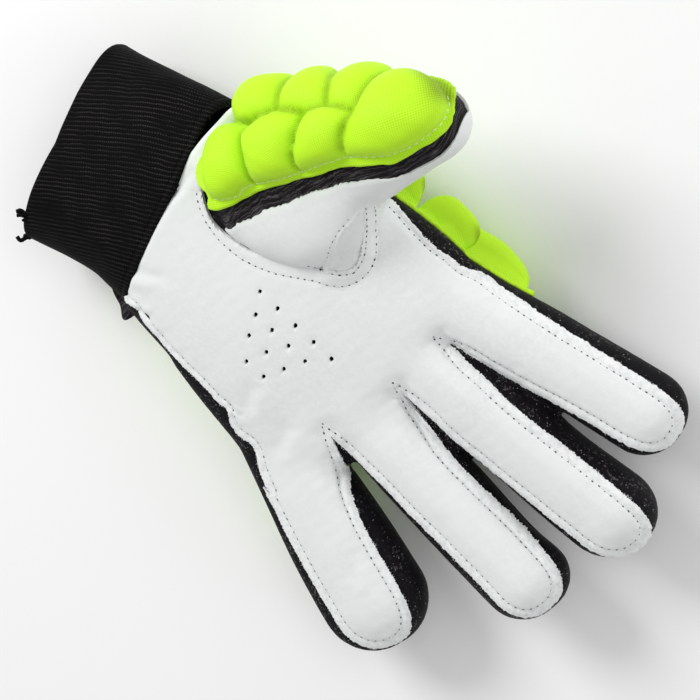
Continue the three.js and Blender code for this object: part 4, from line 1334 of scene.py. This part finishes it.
def padded_piece(name, points, faces, plan, painted_shade, node):
    """A cushioned piece, both sides on one plan. Each vertex carries how much painted shade its colour takes
    between cushions.
    """
    uv = np.vstack([plan, plan]) / 10
    obj = piece(name, points, faces, PAD_CLOTH, "pad_fabric", uv=uv, replaces=(node,), sharp=0)
    values = np.concatenate([painted_shade, painted_shade]).astype(np.float32)
    obj.data.attributes.new("painted_shade", "FLOAT", "POINT").data.foreach_set("value", values)


def rounded_edge(depth, reach):
    """The height of a bound edge by the distance in from it: nought to one over the reach."""
    return np.sqrt(np.clip(1 - (1 - np.clip(depth / reach, 0, 1)) ** 2, 0, 1))


# The thumb pad's plan: millimetres along the thumb, and millimetres over it from its crown towards the back
PAD_TUBE = dict(THUMB, start_tip=0.0)
PAD_BASE = 2.0
PAD_RISE = 8.4
# Each cushion's corners and fullness: the lower row from the wrist, the large end cushion, the upper row
THUMB_PILLOWS = [
    ([(-4.6, 1.3), (-2, 0.6), (1, 0.6), (5, 1.4), (8, 3.2), (11.8, 4.4), (12.2, 8.4), (12.6, 11.5),
      (13.2, 14.5), (14.3, 18.3), (16.6, 21.2), (24, 23.4), (14, 24.3), (4, 24.6), (-0.8, 23.6), (-4.2, 18),
      (-5.6, 12), (-5.7, 6)], 1.04),
    ([(12.8, 4.6), (16, 4.4), (20.5, 4.5), (25, 4.0), (28, 3.4), (31.4, 2.8), (33.2, 6.9), (35.2, 9.6),
      (36.8, 11.6), (38.0, 13.7), (39.2, 15.4), (40, 16.5), (38.0, 18.6), (33.6, 22.1), (26, 22.9),
      (17.6, 21.1), (15.3, 18.2), (14.2, 14.5), (13.6, 11.5), (13.2, 8.4)], 1.06),
    ([(32.6, 2.6), (36, 1.7), (39.5, 0.8), (42, 0), (45, -0.4), (47.2, -0.6), (48.2, 1.9), (49.6, 4.7),
      (50.7, 7), (52.2, 8.9), (53.6, 10.7), (52.2, 11.3), (49.6, 13.1), (46.4, 15), (41.4, 15.8),
      (39.0, 13.2), (37.8, 11.4), (36.2, 9.4), (34.2, 6.8)], 1.0),
    ([(48.4, -0.9), (51.0, -2.2), (54, -3.4), (57, -4.3), (59.5, -5.0), (62.5, -4.7), (65.5, -4.4),
      (69, -3.3), (72, -2.1), (74.6, -0.5), (76.1, 1.3), (77.0, 3.6), (77.0, 6.6), (75.4, 11.5), (72.6, 16.4),
      (69.2, 20), (65.7, 22), (61.6, 21.8), (59.1, 18.6), (56.8, 14.6), (54.7, 11.2), (53, 8.7), (51.6, 6.8),
      (50.4, 4.5), (49.1, 1.7)], 0.97),
    ([(5.6, 25.1), (9.5, 24.9), (18, 24.5), (26, 23.7), (33.4, 22.9), (34.0, 25), (34.6, 29.4), (35.6, 34),
      (35.4, 39), (25, 40.4), (15.5, 39.2), (10.2, 35), (6.4, 30)], 1.1),
    ([(33.9, 22.7), (38.8, 19), (42, 16.3), (46.5, 15.6), (46.7, 18), (46.6, 21.4), (46.1, 26.2), (45.2, 33),
      (43, 37.8), (37.4, 38.6), (36.2, 34), (35.1, 29.4), (34.6, 25)], 0.88),
    ([(47.3, 15.5), (50.2, 13.7), (52.6, 12), (54.4, 11.4), (56.2, 14.6), (58.4, 18.4), (60.6, 22),
      (62.0, 25), (60.8, 29), (57, 33.4), (46.4, 35.4), (46.9, 26.2), (47.3, 21.4), (47.4, 18)], 0.8),
]
PAD_OUTLINE = [
    (-9.2, 4.4), (-7.6, 2.4), (-8.2, -1.2), (-7.6, -3.1), (-3, -3.5), (1.5, -2.5), (6.5, -0.5), (12, 1.3),
    (17.5, 1.9), (21.5, 2.0), (25.5, 1.4), (29.5, 0.4), (35, -1.5), (40.5, -3.3), (44.5, -4.2),
    (47.5, -5.2), (51, -6.8), (55.5, -8.2), (58.5, -9.2), (61, -9.2), (64.5, -8.4), (68, -7.2), (71, -6.5),
    (74, -5.4), (76.5, -4), (78.2, -2.5), (79.0, -0.4), (80.0, 2.5), (80.4, 6.4), (80.0, 11), (78.2, 16.6),
    (75.2, 21.3), (70.8, 25.8), (65, 31), (60, 37), (50, 41), (36, 43.5), (20, 45.5), (9, 43), (2, 36),
    (-5, 27), (-10, 18), (-10.9, 9),
]
PAD_STITCH = [
    (-4.4, 0.5), (-2, 0), (1, 0), (5, 0.8), (8, 2.9), (12, 4.1), (16, 4), (20.5, 4.1), (25, 3.6), (29, 3),
    (33.5, 1.9), (37, 0.9), (40.5, 0), (43, -0.8), (46, -1.1), (48, -1.6), (51.5, -3.1), (54, -4.3),
    (57, -5.1), (59.5, -5.8), (62.5, -5.5), (65.5, -5.2), (69, -4.1), (72, -2.9), (75, -1.3), (76.9, 0.8),
    (78, 3.2), (78.4, 5.9), (78.1, 9),
]
# The raised rim round the end of the thumb's pad
PAD_EAR = [(80, 3.5), (80.2, 7), (79.8, 11), (78, 16.6), (75, 21.3), (71.0, 25.4)]


def over_top(t, at, across, base):
    """The turn round a tube at which its skin lies some way over the top from its crown."""
    turns = np.linspace(-150, 170, 641)
    places = np.linspace(at.min(), at.max(), 240)
    length = arcs(skin(t, places[:, None], turns, base))
    length -= length[:, np.argmin(np.abs(turns))][:, None]
    i = np.clip(np.searchsorted(places, at) - 1, 0, len(places) - 2)
    share = (at - places[i]) / (places[i + 1] - places[i])
    result = np.zeros(len(at))
    for k in range(len(places) - 1):
        here = i == k
        if here.any():
            before, after = (np.interp(across[here], length[m], turns) for m in (k, k + 1))
            result[here] = before * (1 - share[here]) + after * share[here]
    return result


def thumb_spot(spots):
    """The thumb's skin under places of the pad's plan, and its normals."""
    along = spots[:, 0]
    turn = over_top(PAD_TUBE, along, spots[:, 1], PAD_BASE)
    base = skin(PAD_TUBE, along, turn, 0.5)
    ahead = skin(PAD_TUBE, along + 0.6, turn, 0.5) - skin(PAD_TUBE, along - 0.6, turn, 0.5)
    aside = skin(PAD_TUBE, along, turn + 3, 0.5) - skin(PAD_TUBE, along, turn - 3, 0.5)
    normals = unit(np.cross(aside, ahead))
    normals *= np.sign((normals * (base - centre(PAD_TUBE, along))).sum(-1, keepdims=True))
    return base, normals


def pillow_line(corners):
    """A cushion's seam: its corners joined, a little rounded."""
    line = resample(np.array([*corners, corners[0]], float), 0.45)[:-1]
    for _ in range(4):
        line = (np.roll(line, 1, 0) + 2 * line + np.roll(line, -1, 0)) / 4
    return line


def cloth_plan(spots, lines, high):
    """Where cloth drawn over cushions comes from: its plan, let out down each cushion's flanks."""
    plan = spots.copy()
    for line, (_, full) in zip(lines, THUMB_PILLOWS):
        near = inside(spots, line)
        from_middle = spots[near] - line.mean(0)
        plan[near] += unit(from_middle) * np.clip(PAD_RISE * full - high[near], 0, None)[:, None]
    return plan


def thumb_puff(spots, lines, sewn):
    """How full the thumb's cushions stand at each spot, and how far it lies outside each of them."""
    puff, apart = np.zeros(len(spots)), []
    for line, (_, full) in zip(lines, THUMB_PILLOWS):
        outward = np.roll(line, -1, 0) - np.roll(line, 1, 0)
        outward = unit(np.stack([outward[:, 1], -outward[:, 0]], -1))
        if inside(line[:1] + outward[:1], line)[0]:
            outward = -outward
        puff = np.maximum(puff, full * inflate(spots, line + 0.6 * outward) ** (0.4 + 0.2 * bell(sewn, 2.5)))
        apart.append(np.where(inside(spots, line), 0, distance(spots, line)))
    return puff, apart


def thumb_pad():
    """The thumb's cushions on their flange. Gives their plan, faces, outer points and normals."""
    edge = closed_spline(PAD_OUTLINE, 0.5)
    edge = edge + 0.16 * plan_noise(edge, 5, 61)
    lines = [pillow_line(corners) for corners, _ in THUMB_PILLOWS]
    spots, tris = cloth_patch(edge, 0.62, lines)
    pairs, depth = link_pairs(tris), distance(spots, edge)
    sewn = distance(spots, spline(PAD_STITCH, 0.6), closed=False)
    puff, apart = thumb_puff(spots, lines, sewn)
    for _ in range(3):
        puff = (puff + averaged(puff, pairs)) / 2
    ear = bell(distance(spots, spline(PAD_EAR, 0.5), closed=False), 1.3)
    ear *= smooth_step(4, 11, spots[:, 1]) * (puff < 0.35)
    height = 1.25 * rounded_edge(depth, 1.0) + PAD_RISE * puff - 0.5 * bell(sewn, 0.6)
    height += 0.12 * value_noise(spots, 7, 8) * np.clip(depth, 0, 1)
    height += 1.5 * ear
    # Painted shade: darker cloth in the valleys between cushions and in the valley before the raised rim at
    # the pad's end.
    painted_shade = smooth_step(2.3, 0.2, np.sort(apart, axis=0)[1]) * smooth_step(-1.0, 3.0, spots[:, 1]) * 0.7
    end_valley_shade = inside(spots, edge) * smooth_step(66, 73, spots[:, 0]) * smooth_step(2.5, 8, spots[:, 1])
    painted_shade = np.maximum(painted_shade, end_valley_shade * smooth_step(0.95, 0.6, puff) * smooth_step(0.2, 1.6, depth))
    base, normals = thumb_spot(spots)
    loose = (depth > 0.3)[:, None]
    for _ in range(70):
        base = np.where(loose, averaged(base, pairs), base)
        normals = unit(np.where(loose, averaged(normals, pairs), normals))
    grid = base + normals * height[:, None]
    foot = base + normals * (0.9 * ear - 0.25)[:, None]
    tris = wound(grid, tris, normals[tris[:, 0]])
    weave = cloth_plan(spots, lines, PAD_RISE * puff)
    padded_piece("thumb_pad_pillows", *closed_patch(grid, foot, tris), weave, painted_shade, "thumb_pad")
    return spots, tris, grid, normals


def pad_stitch_path(spots, tris, grid, normals):
    """The pad's seam as points on its cloth, with the normals there."""
    flat_tree = tree(np.column_stack([spots, np.zeros(len(spots))]), tris)
    path, path_normals = [], []
    for x, y in spline(PAD_STITCH, 0.4):
        face = flat_tree.ray_cast(Vector((x, y, 5)), Vector((0, 0, -1)))[2]
        if face is not None:
            corners = tris[face]
            near = 1 / (np.linalg.norm(spots[corners] - (x, y), axis=1) + 0.02)
            near /= near.sum()
            path.append(near @ grid[corners])
            path_normals.append(unit(near @ normals[corners]))
    return np.array(path), np.array(path_normals)


PAD_THREAD = pad_stitch_path(*thumb_pad())

# A round pad: its flange at both sides, the gap at a cushion's seam, its height past the first column
SIDE_BORDER = 2.6
CUSHION_GAP = 0.3
LATER_COLUMNS_HIGH = 10.4
# Mesh columns for each degree and each millimetre of a tube's half breadth
FINENESS = 0.0275


def pad_columns(w, cols, first):
    """Columns of cushions across a pad: each place's distance to its column's border, and that column's
    number, breadth and middle."""
    inner = w[:, -1:] - 2 * SIDE_BORDER
    first_mm = inner / cols if first is None else first + 0 * inner
    rest_mm = (inner - first_mm) / max(cols - 1, 1)
    past_first = w - SIDE_BORDER - first_mm
    u = np.where(past_first < 0, 1 + past_first / first_mm, 1 + past_first / np.maximum(rest_mm, 1e-6))
    col = np.clip(np.floor(u), 0, cols - 1)
    col_mm = np.where(past_first < 0, first_mm, rest_mm if cols > 1 else first_mm)
    mid = SIDE_BORDER + np.where(col < 1, first_mm / 2, first_mm + (col - 0.5) * rest_mm)
    return (0.5 - np.abs(u - col - 0.5)) * col_mm, col, col_mm, mid


def round_pad(name, t, start, lengths, cols, angles, high, node, lean=0.0, borders=(4.0, 4.0), first=None,
              fore=0.0, taper=0.0):
    """A pad round part of the back: rows of cushions along it, columns round it, all on one flange."""
    along = np.arange(start, start + sum(lengths) + sum(borders), 0.6)
    turns = np.linspace(*angles, int(FINENESS * (angles[1] - angles[0]) * np.mean(t["wide"])) + 12)

    def face(offset):
        return skin(t, along[:, None], turns, FABRIC_OUT + offset)

    row_edges = np.concatenate([[0], np.cumsum(lengths)])
    s = along - start - borders[0]
    row = np.clip(np.searchsorted(row_edges, s, "right") - 1, 0, len(lengths) - 1)
    mid, half = (row_edges[row] + row_edges[row + 1]) / 2, (row_edges[row + 1] - row_edges[row]) / 2
    ahead = (s - mid) / half
    forward = (np.clip(ahead / 2 + 0.5, 0, 1) * (row == len(lengths) - 1))[:, None, None]
    aside = np.array([-math.sin(t["yaw"]), math.cos(t["yaw"]), 0.0])
    onwards = np.array([math.cos(t["yaw"]), math.sin(t["yaw"]), 0.0])
    amount = (1 - smooth_step(angles[0] + 5, angles[0] + 60, turns))[None, :, None]
    out = unit(face(0.5) - face(-0.5))
    out = unit(out + amount * (lean * aside + fore * forward * onwards))

    w = arcs(face(2.0))
    to_border, col, col_mm, mid_w = pad_columns(w, cols, first)
    dx = np.clip(to_border - CUSHION_GAP, 0, None)
    dy = np.clip(half - np.abs(s - mid) - CUSHION_GAP, 0, None)[:, None]
    reach = np.where((ahead > 0) | (fore == 0), 7.0, 4.5)[:, None]
    x = np.clip(dx / (col_mm / 2 - CUSHION_GAP), 0, 1)
    y = np.clip(dy / np.minimum(half[:, None] - CUSHION_GAP, reach), 0, 1)
    if cols > 1:
        high = np.where(col == 0, high, LATER_COLUMNS_HIGH)
    crown = (1 - 0.1 * ahead ** 2 - taper * smooth_step(-0.1, 1.0, ahead))[:, None]
    bump = (np.sqrt(x * (2 - x)) * np.sqrt(y * (2 - y))) ** 0.8 * crown
    edge = np.minimum(np.minimum(w, w[:, -1:] - w), np.minimum(along - along[0], along[-1] - along)[:, None])
    flange = 1.1 * rounded_edge(edge, 0.9) - 0.35 * bell(edge - 1.6, 0.4)
    spots = across_along(w, along)
    ripple = value_noise(spots.reshape(-1, 2), 3.4, 81).reshape(w.shape) * bell(edge, 1.8)
    top = face(0.5) + out * (flange + high * bump + 0.22 * ripple)[..., None]
    top[..., 2] = np.maximum(top[..., 2], 0.0)
    plan = spots + unit(across_along(w - mid_w, s - mid)) * (high * (1 - bump))[..., None]
    # Painted shade near the ends of the rows: each row's far end where the pad has more than two columns, the
    # border before the first row otherwise.
    ends = ((ahead > 0) if cols > 2 else (s < 0))[:, None]
    painted_shade = smooth_step(6.4, 2.2, dy) * smooth_step(0.5, 2.5, dx) * ends
    padded_piece(name, *shell(top, face(0.05)), plan.reshape(-1, 2), painted_shade.ravel(), node)


round_pad("hand_back_pillows", PALM, 9.4, [22.8, 22.8, 16], 5, (103, 247), 15.2, "hand_back_pad", lean=2.8,
          borders=(4.0, 1.5), first=14.5, fore=3.2)
round_pad("index_knuckle_pillows", INDEX, 2.2, [32.2], 2, (99.5, 226), 11.4, "index_pad", lean=1.4,
          borders=(1.2, 3.4), fore=0.25, taper=0.32)
round_pad("middle_knuckle_pillow", MIDDLE, 15, [17], 1, (142, 216), 10.6, "middle_pad")
round_pad("ring_knuckle_pillow", RING, 15, [17], 1, (142, 216), 10.6, "ring_pad")
round_pad("little_knuckle_pillow", LITTLE, 21, [18], 1, (140, 240), 10.6, "little_pad")


def cuff():
    """A ribbed band: rolled at its mouth, its sewn edge running askew over the glove. Gives its points."""
    ends = [np.linspace(-1.2, 4, 34), np.linspace(38, 40.5, 14)[1:]]
    along = np.concatenate([ends[0], np.linspace(4, 38, 84)[1:], ends[1]])
    around = 400
    turns = 180 + np.linspace(0, 360, around, endpoint=False)
    from_crown = (turns + 180) % 360 - 180
    stand = np.full(len(along), 0.15)
    stand += 0.35 * bell(along - 0.2, 1.0)
    stand -= 0.25 * bell(along - 1.9, 0.35)
    stand -= 1.1 * (1 - np.sqrt(1 - np.clip((along - 39.0) / 1.5, 0, 1) ** 2))
    stand -= 1.5 * (1 - np.sqrt(1 - np.clip((-0.4 - along) / 0.8, 0, 1) ** 2))
    sewn = (1 - smooth_step(0, 30, along))[:, None]
    askew = (0.9 + 2.4 * np.sin(np.radians(turns))) * sewn - 3.6 * bell(from_crown + 55, 30) * sewn
    place = along[:, None] - askew
    place += 5.4 * np.clip(np.sin(np.radians(turns)), 0, 1) * smooth_step(12, 40, along)[:, None]
    ring = skin(CUFF, along[:, None], turns, stand[:, None]).reshape(-1, 3)
    wave = (value_noise(ring, 34, 41) * 0.4).reshape(-1, around)
    wave += (value_noise(ring, 12, 42) * 0.15).reshape(-1, around)
    place = place + 0.5 * np.sin(np.radians(turns * 3 + 40)) * smooth_step(30, 40.5, along)[:, None]
    outer = skin(CUFF, place, turns, stand[:, None] + wave)
    inner = skin(CUFF, place, turns, -2.1 + wave)
    w = arcs(outer)
    w -= w[:, around // 2: around // 2 + 1]
    uv = across_along(w, along).reshape(-1, 2) / 10
    points, faces = shell(outer, inner, wrap=True)
    piece("wrist_cuff_band", points, faces, RIBBED, "ribbed_elastic", uv=np.vstack([uv, uv]),
          replaces=("wrist_cuff",), sharp=60)
    return points


cuff_points = cuff()

# Stitches, needle holes in painted shade, and fibres
STITCH_PITCH = 2.45


def along_path(path, normals, arc, start, length):
    """Four places on a path, and their normals."""
    at = np.linspace(start, start + length, 4)
    places, ups = (np.stack([np.interp(at, arc, v[:, k]) for k in range(3)], -1) for v in (path, normals))
    return places, unit(ups)


def pad_thread():
    """Pale stitches laid end to end along the thumb pad's seam."""
    path, normals = PAD_THREAD
    arc, parts, place = arc_length(path), [], 0.0
    while place + 1.6 < arc[-1]:
        p, up = along_path(path, normals, arc, place, 1.6)
        parts.append(sweep(p + up * 0.04, 0.26 * np.array([0.45, 1, 1, 0.45]), 6, up, 0.7))
        place += 2.5
    piece("thumb_pad_thread", *join(parts), PALE_THREAD, "pad_fabric", sharp=0)


def palm_stitch_runs():
    """The seams along the palm leather's edge, each pair meeting in a point behind its slit."""
    inset = stitch_inset(OUTLINE)
    tangent = unit(np.roll(OUTLINE, -3, 0) - np.roll(OUTLINE, 3, 0))
    normal = np.stack([-tangent[:, 1], tangent[:, 0]], -1)
    sign = 1 if inside(OUTLINE[900:901] + normal[900:901], OUTLINE)[0] else -1
    line = OUTLINE + sign * normal * inset[:, None]
    sound = (distance(line, OUTLINE) > inset - 0.2) & (line[:, 0] > -58)
    tips = []
    for k in range(len(SLITS)):
        apex, way = slit_way(k)
        d = line - apex
        sound &= ~((np.linalg.norm(d, axis=1) < 11) & (d @ way < 6.5))
        tips.append(apex - 5.2 * way)
    runs, run = [], []
    for ok, place in zip(sound, line):
        if ok:
            run.append(place)
        elif run:
            runs.append(np.array(run))
            run = []
    result = []
    for run in runs:
        if len(run) > 8:
            for tip in tips:
                if np.linalg.norm(run[0] - tip) < 14:
                    run = np.vstack([tip, run])
                if np.linalg.norm(run[-1] - tip) < 14:
                    run = np.vstack([run, tip])
            result.append(eased(resample(run, 0.6), 8))
    return result


def palm_stitches():
    """Dark needle marks of painted shade along every seam of the leather, with a run of thread between each
    two.
    """
    paths = [(drop(leather_tree, run), 1.0) for run in palm_stitch_runs()]
    for marks, high, strong in (
        (THUMB_STITCH_SEEN, SEAM_MARK_HEIGHT, 1.0),
        (INNER_STITCH_SEEN, MARK_HEIGHT, 1.15),
        (LEFT_STITCH_SEEN, MARK_HEIGHT, 0.7),
    ):
        paths.append((seen(outer_tree, spline(marks, 0.5), high), strong))
    holes, threads = [], []
    for (path, normals), strong in paths:
        path = eased(path, 3)
        arc, place = arc_length(path), 0.3
        while place + 1.0 < arc[-1]:
            size = strong * rng.uniform(0.75, 1.15)
            for start, length, radius, lift, into in ((place, 0.75 * size, 0.27 * size, 0.03, holes),
                                                      (place + 0.9, 1.3, 0.15, 0.0, threads)):
                if start + length > arc[-1]:
                    continue
                p, up = along_path(path, normals, arc, start, length)
                p = p + np.array([rng.gauss(0, 0.06), rng.gauss(0, 0.06), 0])
                into.append(sweep(p + up * lift, radius * np.array([0.5, 1, 1, 0.5]), 6, up, 0.45))
            place += STITCH_PITCH * rng.uniform(0.93, 1.07)
    piece("palm_needle_hole_shade", *join(holes), NEEDLE_HOLE_SHADE, "leather", sharp=0)
    piece("palm_thread", *join(threads), WHITE_THREAD, "leather", sharp=0)


def edge_fibres(outward):
    """Fibres of the raw leather edge, over the black cloth."""
    fibres = []
    points, normals = drop(leather_tree, OUTLINE)
    for k in range(len(OUTLINE)):
        if OUTLINE[k, 0] < -55:
            continue
        tuft, up = 0.8 + 0.6 * math.sin(k * 0.37) * math.sin(k * 0.113), normals[k]
        for _ in range(6):
            share = rng.random()
            p = points[k] * (1 - share) + points[(k + 1) % len(OUTLINE)] * share
            stray = np.array([rng.gauss(0, 0.6), rng.gauss(0, 0.6), rng.gauss(-0.2, 0.3)])
            d = unit(unit(np.array([*outward[k], 0.0])) + stray)
            length = (0.3 + 1.0 * rng.random() ** 2.5) * tuft
            p = p - up * rng.uniform(0.1, 0.7) - d * 0.1
            middle = p + d * length * 0.5 + up * rng.gauss(0, 0.06)
            fibres.append(sweep([p, middle, p + d * length - up * 0.1], np.array([0.085, 0.07, 0.03]), 3))
    piece("leather_edge_fibres", *join(fibres), RAW_EDGE, "leather", sharp=0)


def cloth_lint(outward):
    """White lint caught on the black cloth, most of it beside the leather."""
    lint = []
    for k in rng.sample(range(len(OUTLINE)), 620):
        if OUTLINE[k, 0] < -50:
            continue
        spot = OUTLINE[k] + unit(outward[k]) * rng.uniform(0.8, 5.5)
        hit, up, _, _ = body_tree.ray_cast(Vector((*spot, 110)), Vector((0, 0, -1)))
        if hit is None or inside(spot[None], OUTLINE)[0]:
            continue
        up = np.array(up) * (1 if up.z > 0 else -1)
        d = unit(np.cross(up, [rng.gauss(0, 1), rng.gauss(0, 1), rng.gauss(0, 1)]))
        length = rng.uniform(0.15, 0.75) ** 1.4
        p = np.array(hit) + up * 0.08
        bend = np.cross(up, d) * rng.gauss(0, 0.25) * length
        path = [p - d * length / 2, p + bend + up * 0.05, p + d * length / 2]
        lint.append(sweep(path, np.array([0.03, 0.05, 0.03]), 3))
    piece("lint_on_black_cloth", *join(lint), WHITE_THREAD, "black_fabric", sharp=0)


def cuff_tab():
    """A satin tab caught in the cuff's seam."""
    line = closed_spline(TAB_LINE, 0.5)
    plan, tris = cloth_patch(line, 0.6)
    high = 21.0 - 0.3 * (-37 - plan[:, 1]) + 0.7 * np.sin(plan[:, 0] * 0.75 + plan[:, 1] * 0.25)
    top = np.column_stack([plan, high])
    low = top - np.array([0.1, -0.2, 0.55])
    piece("cuff_satin_tab", *closed_patch(top, low, wound(top, tris)), THUMB_STRETCH, "ribbed_elastic",
          uv=np.vstack([plan, plan]) / 10, sharp=60)


def cuff_threads():
    """Loose ends of black thread at the cuff's mouth, in two tufts placed as they are seen."""
    tufts = []
    for x, y, z, count in ((-108.0, -41.4, 20, 7), (-103.1, -48.8, 16, 4)):
        way = unit(np.array([x, y, z]) - EYE)
        nearest = np.linalg.norm(np.cross(cuff_points - EYE, way), axis=1).argmin()
        x, y, z = cuff_points[nearest] + (0.5, 0.5, 0)
        for _ in range(count):
            a = np.array([x + rng.gauss(0, 0.5), y + rng.gauss(0, 0.5), z + rng.gauss(0, 0.8)])
            d = unit(np.array([-0.75 + rng.gauss(0, 0.35), -0.75 + rng.gauss(0, 0.35), rng.gauss(0, 0.4)]))
            aside = unit(np.cross(d, [0, 0, 1])) * rng.gauss(0, 1.1)
            length = rng.uniform(2.0, 3.6)
            path = [a, a + d * length * 0.5 + aside, a + d * length + aside * rng.uniform(-0.6, 1.4)]
            tufts.append(sweep(spline(path, 0.5), rng.uniform(0.5, 0.85), 6))
    piece("cuff_loose_threads", *join(tufts), RIBBED, "ribbed_elastic", sharp=0)


outline_outward = OUTLINE - offset_line(OUTLINE, 1.0)
palm_stitches()
pad_thread()
edge_fibres(outline_outward)
cloth_lint(outline_outward)
cuff_tab()
cuff_threads()


# The camera, the lights and the floor
def camera():
    """The photograph's view. Gives the camera's axes: right, up and back."""
    ex = unit(np.array([1.0, 0, 0]) - TOWARDS * TOWARDS[0])
    ey = np.cross(TOWARDS, ex)
    turn = math.radians(CAMERA_ROLL)
    right = math.cos(turn) * ex - math.sin(turn) * ey
    up = math.sin(turn) * ex + math.cos(turn) * ey
    place = (EYE + SHIFT) * MM
    data = bpy.data.cameras.new("camera")
    data.sensor_width = SENSOR
    data.lens = SENSOR * CAMERA_DISTANCE / MM_PER_PIXEL / PIXELS
    data.shift_x, data.shift_y = OFF_CENTRE, -OFF_CENTRE
    obj = bpy.data.objects.new("camera", data)
    obj.matrix_world = Matrix((*np.column_stack([right, up, TOWARDS, place]).tolist(), (0, 0, 0, 1)))
    bpy.context.collection.objects.link(obj)
    bpy.context.scene.camera = obj
    return np.array([right, up, TOWARDS])


def area_light(name, place, size, power):
    data = bpy.data.lights.new(name, "AREA")
    data.shape, data.size, data.energy = "DISK", size, power
    obj = bpy.data.objects.new(name, data)
    obj.location = Vector(place)
    obj.rotation_euler = (-Vector(place)).to_track_quat("-Z", "Y").to_euler()
    bpy.context.collection.objects.link(obj)


axes = camera()
# Name, way from the glove in the camera's axes, distance in metres, size, power
for name, way, far, size, power in (
    ("key", (-0.9, 0.55, 0.7), 1.3, 0.6, 9.6),
    ("fill", (0.9, -0.5, 0.7), 1.4, 1.2, 1.5),
    ("side", (1.0, 0.8, 0.4), 1.3, 0.7, 6.0),
    ("over", (0.1, 0.1, 1.0), 1.6, 1.0, 3.3),
):
    area_light(name, unit(way @ axes) * far, size, power)

world = bpy.data.worlds.new("studio")
world.use_nodes = True
background = world.node_tree.nodes["Background"]
background.inputs["Color"].default_value = (1, 1, 1, 1)
background.inputs["Strength"].default_value = 0.47
bpy.context.scene.world = world
bpy.context.scene.view_settings.view_transform = "Standard"

mesh = bpy.data.meshes.new("floor")
mesh.from_pydata([(-3, -3, 0), (3, -3, 0), (3, 3, 0), (-3, 3, 0)], [], [(0, 1, 2, 3)])
floor = bpy.data.objects.new("floor", mesh)
floor.location.z = -0.0002
bpy.context.collection.objects.link(floor)
mesh.materials.append(floor_material())
